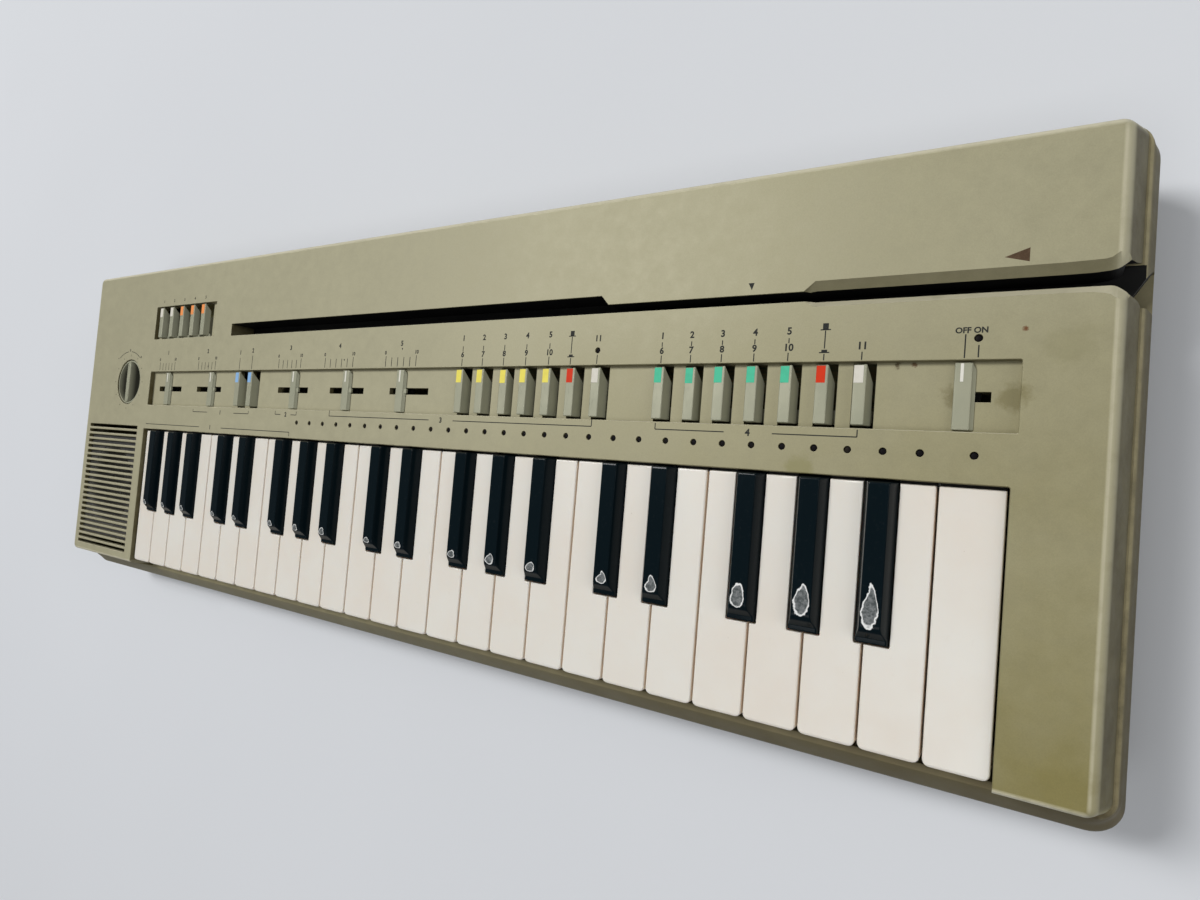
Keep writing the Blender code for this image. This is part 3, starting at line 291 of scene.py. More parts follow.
def satin_paint(name, tone, second, stain, depth):
    """Sprayed satin paint: a fine metallic grain, ageing that deepens towards the front right corner, rubbed
    edges with a painted highlight, grime and painted shade on the upright sides, a painted highlight on faces
    that lean towards the back, and small dark specks."""
    material, tree, shader, place = start_finish(name, 0.50, 0.10, 0.20)
    cloudy = between(tree, clouds(tree, place, 7.0, 3.0), 0.30, 0.70)
    colour = blended(tree, cloudy, tone, second)
    spot = node(tree, "ShaderNodeSeparateXYZ", {0: place})
    across = between(tree, spot.outputs[0], 0.02, 0.30)
    forward = between(tree, spot.outputs[1], 0.06, -0.10, 0.20, 1.0)
    patches = between(tree, clouds(tree, place, 16.0, 5.0, 0.6), 0.30, 0.72, 0.55, 1.15)
    aged = times(tree, times(tree, across, forward), patches)
    colour = blended(tree, aged, colour, stain)
    mottle = between(tree, clouds(tree, place, 160.0, 4.0, 0.7), 0.30, 0.70, 0.95, 1.04)
    grain = between(tree, clouds(tree, place, 2600.0, 2.0), 0.25, 0.75, 0.95, 1.05)
    shade = times(tree, mottle, grain)
    spread = node(tree, "ShaderNodeCombineColor", {0: shade, 1: shade, 2: shade}).outputs[0]
    colour = blended(tree, 1.0, colour, spread, "MULTIPLY")
    # Grime and painted shade on upright faces, thickest on the right; a painted shadow on front-facing ones
    facing = node(tree, "ShaderNodeSeparateXYZ", {0: node(tree, "ShaderNodeNewGeometry").outputs["Normal"]})
    smear = between(tree, clouds(tree, place, 55.0, 5.0, 0.7), 0.30, 0.65, 0.70, 1.0)
    right_grime_and_shade = between(tree, facing.outputs[0], 0.80, 0.95, 0.0, 0.95)
    front_painted_shadow = between(tree, facing.outputs[1], -0.45, -0.75, 0.0, 0.60)
    sides = reckoned(tree, "MAXIMUM", right_grime_and_shade, front_painted_shadow)
    colour = blended(tree, times(tree, sides, smear), colour, GRIME_AND_SHADE)
    # Rubbed paint with a painted highlight where the panel bends into the skirt, and on faces leaning back
    outside = []
    for axis, (low, high) in enumerate(((CREST_LEFT, CREST_RIGHT), (CREST_FRONT, CREST_BACK))):
        middle = PANEL[axis] + (low + high) / 2
        off = reckoned(tree, "ABSOLUTE", reckoned(tree, "SUBTRACT", spot.outputs[axis], middle), 0.0)
        outside.append(reckoned(tree, "SUBTRACT", off, (high - low) / 2))
    beyond = reckoned(tree, "MAXIMUM", *outside)
    bend = times(tree, between(tree, beyond, -0.0009, 0.0001), between(tree, beyond, 0.0026, 0.0020))
    worn = between(tree, clouds(tree, place, 130.0, 4.0, 0.6), 0.25, 0.50, 0.55, 1.0)
    less_on_right_faces = between(tree, facing.outputs[0], 0.15, 0.50, 1.0, 0.35)
    worn = times(tree, worn, less_on_right_faces)
    colour = blended(tree, times(tree, bend, times(tree, worn, depth)), colour, RUBBED_AND_HIGHLIGHT)
    # Painted highlight: faces that lean towards the back are painted lighter
    turned_back = between(tree, facing.outputs[1], 0.35, 0.50)
    not_upright = between(tree, facing.outputs[1], 0.88, 0.75)
    backward_painted_highlight = times(tree, turned_back, not_upright)
    colour = blended(tree, times(tree, backward_painted_highlight, times(tree, worn, depth * 0.8)), colour, RUBBED_AND_HIGHLIGHT)
    # Small dark specks, and the fine grain of the spray
    specks = node(tree, "ShaderNodeTexVoronoi", {"Vector": place, "Scale": 95.0, "Randomness": 1.0})
    size = between(tree, clouds(tree, place, 40.0), 0.50, 0.75, 0.0, 0.045)
    dot = reckoned(tree, "LESS_THAN", specks.outputs["Distance"], size)
    colour = blended(tree, times(tree, dot, 0.55), colour, stain)
    coloured(tree, shader, colour, between(tree, mottle, 0.95, 1.04, 0.46, 0.56))
    bumped(tree, shader, clouds(tree, place, 2200.0, 2.0), 0.00006, 0.5)
    return material


def worn_and_lit_rim(material, height):
    """Rubs the paint thin along the right rim at this height, in patches, and paints a highlight there."""
    tree = material.node_tree
    shader = tree.nodes["Principled BSDF"]
    sprayed = shader.inputs["Base Color"].links[0].from_socket
    place = node(tree, "ShaderNodeTexCoord").outputs["Object"]
    spot = node(tree, "ShaderNodeSeparateXYZ", {0: place})
    right = between(tree, spot.outputs[0], PANEL.x + CREST_RIGHT + 0.003, PANEL.x + CREST_RIGHT + 0.004)
    edge = times(tree, right, between(tree, spot.outputs[2], height - 0.0013, height - 0.0003))
    patches = between(tree, clouds(tree, place, 90.0, 5.0, 0.65), 0.35, 0.62, 0.10, 0.65)
    coloured(tree, shader, blended(tree, times(tree, edge, patches), sprayed, THIN_PAINT_AND_HIGHLIGHT))


lower_paint = satin_paint("lower_case_paint", LOWER_PAINT, LOWER_SHADE, LOWER_STAIN, 0.10)
worn_and_lit_rim(lower_paint, PANEL.z - TOP_DEPTH - GAP)
bare_plastic_and_shade = clouded_finish("bare_plastic_and_shade", (BARE_BLACK, BARE_DUST), (60.0, 5.0, 0.4, 0.8), 0.6, 0.0, 0.2)


def crest_ring(z, side, front, back, radius):
    """A ring round the case, set out from the crest by these amounts."""
    low = (CREST_LEFT - side, CREST_FRONT - front)
    high = (CREST_RIGHT + side, CREST_BACK + back)
    return round_rectangle(low, high, radius, z)


# Levels down the wall: height, how far it stands out from the crest at the sides, the front and the back,
# and the radius of its corners
WALL_LEVELS = (
    (-TOP_DEPTH - GAP, 0.0070, 0.0052, 0.0053, PLAN_CORNER + 0.0030),
    (-TOP_DEPTH - GAP - 0.0006, 0.0078, 0.0060, 0.0057, PLAN_CORNER + 0.0036),
    (-0.0205, 0.0093, 0.0098, 0.0062, FLARE_CORNER),
    (-0.02425, 0.0103, 0.0125, 0.0065, FLARE_CORNER),
    (-0.028, 0.0097, 0.0119, 0.0059, FLARE_CORNER),
    (UNDERSIDE + 0.004, 0.0053, 0.0075, 0.0025, FLARE_CORNER),
    (UNDERSIDE + 0.0012, 0.0031, 0.0053, -0.0001, FLARE_CORNER - 0.002),
    (UNDERSIDE, 0.0013, 0.0035, -0.0025, FLARE_CORNER - 0.004),
)
RINGS_PER_LEVEL = 4


def slope_at(column, i):
    """The slope of a wall line at level i: flat where the line turns back, so that it never overshoots."""
    if i in (0, len(WALL_LEVELS) - 1):
        here, other = WALL_LEVELS[i], WALL_LEVELS[1 if i == 0 else i - 1]
        return (other[column] - here[column]) / (other[0] - here[0])
    before, here, after = (WALL_LEVELS[k] for k in (i - 1, i, i + 1))
    first = (here[column] - before[column]) / (here[0] - before[0])
    second = (after[column] - here[column]) / (after[0] - here[0])
    return 0.0 if first * second <= 0 else 2 * first * second / (first + second)


def wall_rings(inset):
    """Rings down the swelling wall, set in by inset for its inside."""
    rings = []
    for i in range(len(WALL_LEVELS) - 1):
        upper, lower = WALL_LEVELS[i], WALL_LEVELS[i + 1]
        drop = lower[0] - upper[0]
        for step in range(RINGS_PER_LEVEL + (i == len(WALL_LEVELS) - 2)):
            t = step / RINGS_PER_LEVEL
            level = [upper[0] + drop * t]
            for column in (1, 2, 3, 4):
                level.append(
                    (2 * t**3 - 3 * t**2 + 1) * upper[column]
                    + (t**3 - 2 * t**2 + t) * drop * slope_at(column, i)
                    + (3 * t**2 - 2 * t**3) * lower[column]
                    + (t**3 - t**2) * drop * slope_at(column, i + 1)
                )
            if not inset or level[0] > UNDERSIDE + WALL:
                rings.append(crest_ring(level[0], *(amount - inset for amount in level[1:])))
    if inset:
        floor = [(x, y, UNDERSIDE + WALL) for x, y, _ in rings[-1]]
        rings = [[(x, y, z + OVER) for x, y, z in rings[0]]] + rings + [floor]
    return rings


def dovetail(left, right, bottom, top, gap):
    """A plate over the battery bay whose long sides lean in towards the underside."""
    lean = DOOR_LEAN * (top - bottom) / DOOR_PLATE
    reach = DOOR_TONGUE - gap
    bm = bmesh.new()
    pushed(bm, [
        (left, BAY_FRONT - reach + lean, bottom), (left, BAY_BACK + reach - lean, bottom),
        (left, BAY_BACK + reach, top), (left, BAY_FRONT - reach, top),
    ], (right - left, 0, 0))
    return bm


def feet_places():
    """The middles of the four feet."""
    xs = (CREST_LEFT + FOOT_INSET, CREST_RIGHT - FOOT_INSET)
    ys = (CREST_FRONT + FOOT_INSET, CREST_BACK - FOOT_INSET)
    return [(x, y) for x in xs for y in ys]


def screw_places():
    """The case screws, in two rows along the underside, clear of the battery bay."""
    xs = (CREST_LEFT + 0.012, KEYS_WIDTH * 0.33, KEYS_WIDTH * 0.66, CREST_RIGHT - 0.012)
    return [(x, y) for x in xs for y in (CREST_FRONT + 0.006, CREST_BACK - 0.006)]


# Where the card slot's notch stands on the right side, as (y, z) round its outline
NOTCH_OUTLINE = (
    (0.1492, -0.0046), (0.1494, -0.0055), (0.1491, -0.0126), (0.1479, -0.0160), (0.1476, -0.0205),
    (NOTCH_CORNER_Y, NOTCH_FLOOR), (0.1603, NOTCH_FLOOR), (0.1610, -0.0205), (0.1618, -0.0160),
    (0.1607, -0.0118), (0.1602, -0.0094), (0.1597, -0.0045),
)


def mouth_notch(slant=0.0):
    """The notch that the card slot makes through the right side. Its left end slants back by slant."""
    bm = bmesh.new()
    end = CREST_RIGHT + NOTCH_END
    pushed(bm, [(end + slant * (y - NOTCH_CORNER_Y), y, z) for y, z in NOTCH_OUTLINE], (0.020, 0, 0))
    return bm


def unpainted(made, test):
    """Gives the dark bare plastic, which also stands in for shade, to the faces of made that pass the test,
    by their middle and their normal.
    """
    made.data.materials.append(bare_plastic_and_shade)
    for face in made.data.polygons:
        if test(face.center - PANEL, face.normal):
            face.material_index = 1


def lower_case():
    """The lower case: a hollow shell, with the battery bay, the wells, the notch and the feet."""
    case = bmesh.new()
    skin(case, wall_rings(0))
    hollow = bmesh.new()
    skin(hollow, wall_rings(WALL))
    kept = bmesh.new()
    floor = UNDERSIDE + WALL - 0.001
    bay_top = UNDERSIDE + BAY_HEIGHT + BAY_WALL
    edge = BAY_WALL
    block(kept, (BAY_LEFT - edge, BAY_FRONT - edge, floor), (BAY_RIGHT + edge, BAY_BACK + edge, bay_top))
    edge = DOOR_TONGUE + WALL
    block(kept, (BAY_LEFT - edge, BAY_FRONT - edge, floor),
          (BAY_RIGHT + edge + DOOR_TRAVEL, BAY_BACK + edge, UNDERSIDE + DOOR_PLATE + WALL * 0.8))
    block(kept, (-LEDGE_SIDE, CREST_FRONT - 0.0125, LEDGE_TOP - WALL),
          (KEYS_WIDTH + LEDGE_SIDE, LEDGE_BACK, LEDGE_TOP))
    for place in screw_places():
        disc(kept, place, SCREW_WELL + 0.0015, floor, UNDERSIDE + SCREW_WELL_DEPTH + 0.010, 24)
    block(kept, (CREST_RIGHT - 0.004, NOTCH_FRONT, NOTCH_FLOOR - WALL), (CREST_RIGHT + 0.020, NOTCH_BACK, 0))
    case = carve(case, carve(hollow, kept, overlapping=True))
    case = carve(case, mouth_notch(NOTCH_SLANT))
    seat = bmesh.new()
    block(seat, (CREST_RIGHT - 0.002, SEAT_FRONT, SEAT_FLOOR), (CREST_RIGHT + 0.012, SEAT_BACK, 0.001))
    case = carve(case, seat)
    feet = bmesh.new()
    for place in feet_places():
        disc(feet, place, FOOT_RADIUS, UNDERSIDE - FOOT_HEIGHT + 0.0012, UNDERSIDE + 0.001, 40,
             FOOT_RADIUS + 0.001)
    case = carve(case, feet, "UNION")
    holes = bmesh.new()
    block(holes, (BAY_LEFT, BAY_FRONT, UNDERSIDE - 0.002), (BAY_RIGHT, BAY_BACK, bay_top - BAY_WALL))
    for place in screw_places():
        disc(holes, place, SCREW_WELL, UNDERSIDE - 0.001, UNDERSIDE + SCREW_WELL_DEPTH, 24)
    case = carve(case, holes)
    recess = dovetail(BAY_LEFT - DOOR_TONGUE - GAP, BAY_RIGHT + DOOR_TRAVEL, UNDERSIDE - 0.001,
                      UNDERSIDE + DOOR_PLATE, 0)
    return carve(case, recess)


def in_notch(centre, normal):
    """Whether a face of the lower case stands in the notch: at its end, on its back wall or on the seat."""
    if not NOTCH_BARE[0] < centre.y < NOTCH_BARE[1] or centre.z < NOTCH_FLOOR - 0.0002:
        return False
    wall = CREST_RIGHT + 0.001 < centre.x < CREST_RIGHT + 0.0100 and (normal.x > 0.6 or normal.y < -0.6)
    return wall or centre.x > CREST_RIGHT - 0.0025 and normal.z > 0.6 and centre.z > -0.0170


lower = piece(lower_case(), "lower_case", "case", "lower_case_paint", lower_paint, "bottom_case")
# The dark bare plastic on the notch's end, back wall and seat also stands in for the shade there
unpainted(lower, in_notch)

# Battery door
# A moulded plate, sprayed like the case, that slides along x in its dovetailed recess and lies flush with
# the underside. Grooves across it give the thumb a hold where it is pushed.
DOOR_GROOVES = 7
DOOR_GROOVE_PITCH = 0.003
DOOR_GROOVE_WIDTH = 0.0012
DOOR_GROOVE_LENGTH = 0.028

door = dovetail(BAY_LEFT - DOOR_TONGUE, BAY_RIGHT - DOOR_CLEAR, UNDERSIDE + GAP / 2,
                UNDERSIDE + DOOR_PLATE - GAP, DOOR_CLEAR)
door_middle = (BAY_FRONT + BAY_BACK) / 2
door_grooves = bmesh.new()
for i in range(DOOR_GROOVES):
    x = BAY_RIGHT - 0.012 - i * DOOR_GROOVE_PITCH
    block(door_grooves, (x - DOOR_GROOVE_WIDTH / 2, door_middle - DOOR_GROOVE_LENGTH / 2, UNDERSIDE - 0.001),
          (x + DOOR_GROOVE_WIDTH / 2, door_middle + DOOR_GROOVE_LENGTH / 2, UNDERSIDE + 0.0008))
piece(carve(door, door_grooves), "battery_door_plate", "battery_door", "lower_case_paint", lower_paint,
      "battery_door")

# Feet and case screws
# Grey rubber pads pressed into the four moulded feet, and plated cross-head screws at the bottom of the
# wells that hold the two cases together.
PAD_RADIUS = 0.0082
# How far in from its edge the pad's side stands at each height, and each radius of the screws' heads with
# its drop below the well's bottom
PAD_LINE = ((0.0005, 0.0), (0.0001, 0.0002), (0.0, 0.0006), (0.0, 0.0016))
SCREW_LINE = ((0.0032, 0.0001), (0.0032, 0.0012), (0.0026, 0.0019), (0.0012, 0.0023))
CROSS_LENGTH = 0.0032
CROSS_WIDTH = 0.00064
RUBBER = (0.060, 0.060, 0.058)
RUBBER_WORN = (0.11, 0.105, 0.095)
SCREW_STEEL = (0.55, 0.54, 0.50)
SCREW_DULL = (0.30, 0.27, 0.22)

rubber, rubber_tree, rubber_shader, rubber_place = start_finish("foot_rubber", 0.85)
rubber_worn = between(rubber_tree, clouds(rubber_tree, rubber_place, 300.0, 4.0), 0.35, 0.7)
coloured(rubber_tree, rubber_shader, blended(rubber_tree, rubber_worn, RUBBER, RUBBER_WORN))
bumped(rubber_tree, rubber_shader, clouds(rubber_tree, rubber_place, 1500.0), 0.0001, 0.6)
for i, place in enumerate(feet_places()):
    pad = bmesh.new()
    bottom = UNDERSIDE - FOOT_HEIGHT
    skin(pad, [circle(place, PAD_RADIUS - inset, bottom + rise, 40) for inset, rise in PAD_LINE])
    piece(pad, f"foot_pad_{i + 1}", "case", "foot_rubber", rubber)

steel, steel_tree, steel_shader, steel_place = start_finish("screw_steel", 0.35, 0.9)
steel_dull = between(steel_tree, clouds(steel_tree, steel_place, 500.0, 4.0), 0.3, 0.7)
coloured(steel_tree, steel_shader, blended(steel_tree, steel_dull, SCREW_STEEL, SCREW_DULL),
         between(steel_tree, steel_dull, 0.0, 1.0, 0.28, 0.55))
for i, place in enumerate(screw_places()):
    seat = UNDERSIDE + SCREW_WELL_DEPTH
    head = bmesh.new()
    skin(head, [circle(place, radius, seat - drop, 28) for radius, drop in SCREW_LINE])
    cross = bmesh.new()
    for half_x, half_y in ((CROSS_LENGTH / 2, CROSS_WIDTH / 2), (CROSS_WIDTH / 2, CROSS_LENGTH / 2)):
        block(cross, (place[0] - half_x, place[1] - half_y, seat - 0.0026),
              (place[0] + half_x, place[1] + half_y, seat - 0.0012))
    piece(carve(head, cross, overlapping=True), f"case_screw_{i + 1}", "case", "screw_steel", steel)

# Chassis and circuit board
# The folded steel frame that the keys turn in, and the phenolic board with its lamps, switches and rear
# sockets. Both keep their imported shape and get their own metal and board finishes.
STEEL = (0.42, 0.42, 0.41)
STEEL_SPANGLE = (0.52, 0.52, 0.50)
BOARD_TAN = (0.20, 0.13, 0.045)
BOARD_GREEN = (0.050, 0.095, 0.035)


def refinished(name, finish):
    """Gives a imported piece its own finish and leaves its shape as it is."""
    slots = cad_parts[name].data.materials
    slots.clear()
    slots.append(finish)


chassis_steel, chassis_tree, chassis_shader, chassis_place = start_finish("chassis_steel", 0.42, 0.95)
spangle = node(chassis_tree, "ShaderNodeTexVoronoi", {"Vector": chassis_place, "Scale": 260.0})
spangle_share = between(chassis_tree, spangle.outputs["Color"], 0.2, 0.8)
coloured(chassis_tree, chassis_shader, blended(chassis_tree, spangle_share, STEEL, STEEL_SPANGLE),
         between(chassis_tree, spangle_share, 0.0, 1.0, 0.34, 0.5))
refinished("key_chassis", chassis_steel)

board_finish, board_tree, board_shader, board_place = start_finish("circuit_board", 0.5)
board_fibres = node(board_tree, "ShaderNodeMapping", {0: board_place, 3: (40.0, 900.0, 40.0)}).outputs[0]
board_share = between(board_tree, clouds(board_tree, board_fibres, 4.0, 5.0), 0.35, 0.65)
coloured(board_tree, board_shader, blended(board_tree, board_share, BOARD_TAN, BOARD_GREEN))
refinished("circuit_board", board_finish)

# Rear socket contacts
# A plated brass ring stands in the mouth of each of the three plug sockets at the back. It is rolled from
# strip and pressed into the socket, which is soldered to the board.
SOCKET_X = (0.012, 0.034, 0.056)
SOCKET_Z = -0.0095
SOCKET_BORE = 0.0034
CONTACT_METAL = (0.70, 0.62, 0.42)
CONTACT_DULL = (0.40, 0.33, 0.20)

contact = clouded_finish("contact_metal", (CONTACT_METAL, CONTACT_DULL), (700.0, 4.0, 0.35, 0.7), 0.3, 0.95)


def lying_ring(x, z, radius, y, sides=32):
    """A circle that stands upright, facing the back."""
    turns = [math.tau * i / sides for i in range(sides)]
    return [(x + radius * math.cos(turn), y, z + radius * math.sin(turn)) for turn in turns]


def tube_rings(x, z, rings):
    """A ring-shaped solid turned about y from (radius, y) points, which close on themselves."""
    bm = bmesh.new()
    loops = [[bm.verts.new(point) for point in lying_ring(x, z, radius, y)] for radius, y in rings]
    for lower, upper in zip(loops, loops[1:] + loops[:1]):
        for i in range(len(lower)):
            j = (i + 1) % len(lower)
            bm.faces.new((lower[i], lower[j], upper[j], upper[i]))
    return bm


for i, x in enumerate(SOCKET_X):
    mouth = CREST_BACK + 0.001
    ring = tube_rings(x, SOCKET_Z, [
        (SOCKET_BORE - 0.0001, mouth - 0.0004), (SOCKET_BORE - 0.0001, mouth - 0.006),
        (SOCKET_BORE - 0.0006, mouth - 0.006), (SOCKET_BORE - 0.0006, mouth - 0.0007),
    ])
    piece(ring, f"socket_contact_{i + 1}", "case", "contact_metal", contact)

# White keys
# Each key is moulded in warm white plastic, with a round nose, a front skirt and soft long edges. It is
# cut away beside its black neighbours, and turns on a bead in the chassis behind the panel.
KEY_PITCH = 0.020
KEY_TOP = -0.0025
KEY_THICK = 0.006
KEY_DROP = 0.010
KEY_LENGTH = 0.0896
KEY_SKIRT = 0.0025
KEY_NOSE = 0.0011
KEY_CORNER = 0.0024
KEY_EDGE = 0.00065
KEY_ARM_TOP = -0.0046
HINGE_Y = 0.0935
HINGE_Z = -0.0085
HINGE_RADIUS = 0.003
KEY_BOTTOM = KEY_TOP - KEY_THICK
BLACK_FRONT = 0.0354
BLACK_BASE = 0.0108
BLACK_ROOM = BLACK_BASE / 2 + KEY_SIDE
OCTAVE_WHITES = ("F", "G", "A", "B", "C", "D", "E")
WHITE_KEYS = 26
SLIDE = 0.0005
IVORY = (0.735, 0.706, 0.640)
IVORY_AGED = (0.710, 0.655, 0.575)
IVORY_SIDE_GLOW = (0.80, 0.67, 0.53)
IVORY_SMUDGE = (0.60, 0.53, 0.44)
IVORY_SPECK = (0.30, 0.22, 0.13)
IVORY_TAIL_SHADE = (0.015, 0.013, 0.010)
SOFT_STEPS = 3


def joined(body, *others):
    """All of these as one solid."""
    for other in others:
        body = carve(body, other, "UNION", overlapping=True)
    return body


def arm(left, right, front):
    """The arm behind a key, with the bead that it turns on."""
    outline = [(front, KEY_BOTTOM), (front, KEY_ARM_TOP), (HINGE_Y - HINGE_RADIUS, KEY_ARM_TOP)]
    for i in range(13):
        angle = math.radians(90 - 250 * i / 12)
        outline.append((HINGE_Y + HINGE_RADIUS * math.cos(angle), HINGE_Z + HINGE_RADIUS * math.sin(angle)))
    outline.append((HINGE_Y - HINGE_RADIUS - SLIDE, KEY_BOTTOM))
    bm = bmesh.new()
    pushed(bm, [(left, y, z) for y, z in outline], (right - left, 0, 0))
    return bm


def key_section(x, half, y, bottom, top, edge):
    """A cross-section of a key with soft upper corners."""
    points = [(x - half, y, bottom)]
    for side in (-1, 1):
        for i in range(4):
            turn = math.pi / 2 * (i if side < 0 else 3 - i) / 3
            across = half - edge + edge * math.cos(turn)
            points.append((x + side * across, y, top - edge + edge * math.sin(turn)))
    return points + [(x + half, y, bottom)]


def white_key(left, sharps):
    """A white key whose left side is at left, cut away beside the black keys at the places in sharps."""
    x, half = left + KEY_PITCH / 2, KEY_PITCH / 2 - KEY_SIDE
    rings = []
    for i in range(9):
        turn = math.pi / 2 * i / 8
        y = KEY_CORNER * (1 - math.cos(turn))
        lost = KEY_NOSE - math.sqrt(max(KEY_NOSE**2 - max(KEY_NOSE - y, 0)**2, 0))
        narrowed = half - KEY_CORNER * (1 - math.sin(turn))
        rings.append(key_section(x, narrowed, y, KEY_TOP - KEY_DROP, KEY_TOP - lost, KEY_EDGE))
    rings.append(key_section(x, half, KEY_SKIRT, KEY_TOP - KEY_DROP, KEY_TOP, KEY_EDGE))
    rings.append(key_section(x, half, KEY_SKIRT, KEY_BOTTOM, KEY_TOP, KEY_EDGE))
    for short, lost in ((0.0011, 0.0), (0.0006, 0.00015), (0.0003, 0.0006)):
        rings.append(key_section(x, half, KEY_LENGTH - short, KEY_BOTTOM, KEY_TOP - lost, KEY_EDGE))
    key = bmesh.new()
    skin(key, rings)
    bmesh.ops.remove_doubles(key, verts=key.verts, dist=1e-7)
    key = joined(key, arm(x - half + 0.0002, x + half - 0.0002, KEY_LENGTH - 0.003))
    for sharp in sharps:
        notch = bmesh.new()
        low = (sharp - BLACK_ROOM, BLACK_FRONT - 2 * KEY_SIDE)
        high = (sharp + BLACK_ROOM, HINGE_Y + 2 * OVER)
        skin(notch, soft_rings(lambda z, out: round_rectangle(
            (low[0] - out, low[1] - out), (high[0] + out, high[1] + out), 0.0006 + out, z, 4
        ), HINGE_Z - 2 * OVER, KEY_TOP, KEY_EDGE * 0.7))
        key = carve(key, notch)
    return key


def soft_rings(ring, bottom, top, edge):
    """Rings of a cutter that spreads at the top, so that the hole it makes has a soft upper rim."""
    rings = [ring(bottom, 0)]
    for i in range(SOFT_STEPS + 1):
        turn = math.pi / 2 * i / SOFT_STEPS
        rings.append(ring(top - edge + (edge + 0.00002) * math.sin(turn), edge * (1 - math.cos(turn))))
    return rings + [ring(top + OVER, edge)]


def sharps():
    """(name, x) of each black key: three spread over F to B, and two over C to E."""
    found = []
    step = KEY_PITCH * 8 / 7
    for octave in range(4):
        left = octave * 7 * KEY_PITCH
        three, two = left + 2 * KEY_PITCH, left + 5.5 * KEY_PITCH
        places = (("Fsharp", three - step), ("Gsharp", three), ("Asharp", three + step),
                  ("Csharp", two - step / 2), ("Dsharp", two + step / 2))
        for note, x in places:
            if x < KEYS_WIDTH - KEY_PITCH:
                found.append((f"key_{note}{octave + 2 + (note[0] in 'CD')}", x))
    return found


ivory, ivory_tree, ivory_shader, ivory_place = start_finish("white_key", 0.32)
ivory_shader.inputs["Subsurface Weight"].default_value = 0.08
ivory_shader.inputs["Subsurface Radius"].default_value = (0.004, 0.003, 0.002)
ivory_shader.inputs["Subsurface Scale"].default_value = 1.0
ivory_cloud = between(ivory_tree, clouds(ivory_tree, ivory_place, 30.0, 4.0), 0.35, 0.7)
ivory_colour = blended(ivory_tree, ivory_cloud, IVORY, IVORY_AGED)
ivory_smudge = between(ivory_tree, clouds(ivory_tree, ivory_place, 420.0, 5.0, 0.7), 0.62, 0.80, 0.0, 0.25)
ivory_colour = blended(ivory_tree, ivory_smudge, ivory_colour, IVORY_SMUDGE)
ivory_cells = node(ivory_tree, "ShaderNodeTexVoronoi", {"Vector": ivory_place, "Scale": 210.0})
ivory_speck_size = between(ivory_tree, clouds(ivory_tree, ivory_place, 60.0), 0.50, 0.75, 0.0, 0.06)
ivory_dots = reckoned(ivory_tree, "LESS_THAN", ivory_cells.outputs["Distance"], ivory_speck_size)
ivory_colour = blended(ivory_tree, times(ivory_tree, ivory_dots, 0.5), ivory_colour, IVORY_SPECK)
# Painted light: below the top edge the sides are a warmer, lighter tan, for light glowing through and between
# keys
ivory_height = node(ivory_tree, "ShaderNodeSeparateXYZ", {0: ivory_place}).outputs[2]
ivory_top = PANEL.z + KEY_TOP
ivory_glowing_sides = between(ivory_tree, ivory_height, ivory_top - 0.00025, ivory_top - 0.0011)
ivory_colour = blended(ivory_tree, ivory_glowing_sides, ivory_colour, IVORY_SIDE_GLOW)
# Painted shade: the sides near the back end of each key are painted near black
ivory_along = node(ivory_tree, "ShaderNodeSeparateXYZ", {0: ivory_place}).outputs[1]
ivory_end = PANEL.y + KEY_LENGTH
ivory_tail_shade = between(ivory_tree, ivory_along, ivory_end - 0.0012, ivory_end - 0.0004)
ivory_colour = blended(ivory_tree, times(ivory_tree, ivory_glowing_sides, ivory_tail_shade), ivory_colour, IVORY_TAIL_SHADE)
coloured(ivory_tree, ivory_shader, ivory_colour, between(ivory_tree, ivory_cloud, 0.0, 1.0, 0.30, 0.42))
bumped(ivory_tree, ivory_shader, clouds(ivory_tree, ivory_place, 90.0, 2.0), 0.0002, 0.15)

octave_number = 2
for i in range(WHITE_KEYS):
    letter = OCTAVE_WHITES[i % 7]
    octave_number += letter == "C"
    left = i * KEY_PITCH
    beside = [x for _, x in sharps() if left - BLACK_ROOM < x < left + KEY_PITCH + BLACK_ROOM]
    name = f"key_{letter}{octave_number}"
    piece(white_key(left, beside), f"white_{name}", name, "white_key", ivory, name)

# Black keys
# Glossy black mouldings with narrow tops and a steep round nose. The playing ends are rubbed dull and
# chipped, most on the highest notes, where the black skin is gone in an oval patch.
BLACK_RISE = 0.0048
BLACK_TOP_WIDTH = 0.0066
BLACK_FOOT = 0.0016
BLACK_SLOPE = 0.0062
BLACK_EDGE = 0.0004
EBONY = (0.0022, 0.0065, 0.0090)
EBONY_DUST = (0.30, 0.30, 0.28)
BARE_DARK = (0.07, 0.08, 0.08)
BARE_GREY = (0.22, 0.23, 0.23)
BARE_RIM = (0.80, 0.80, 0.78)
WORN_TAPER = 0.45
WORN_DEPTH = 0.0016
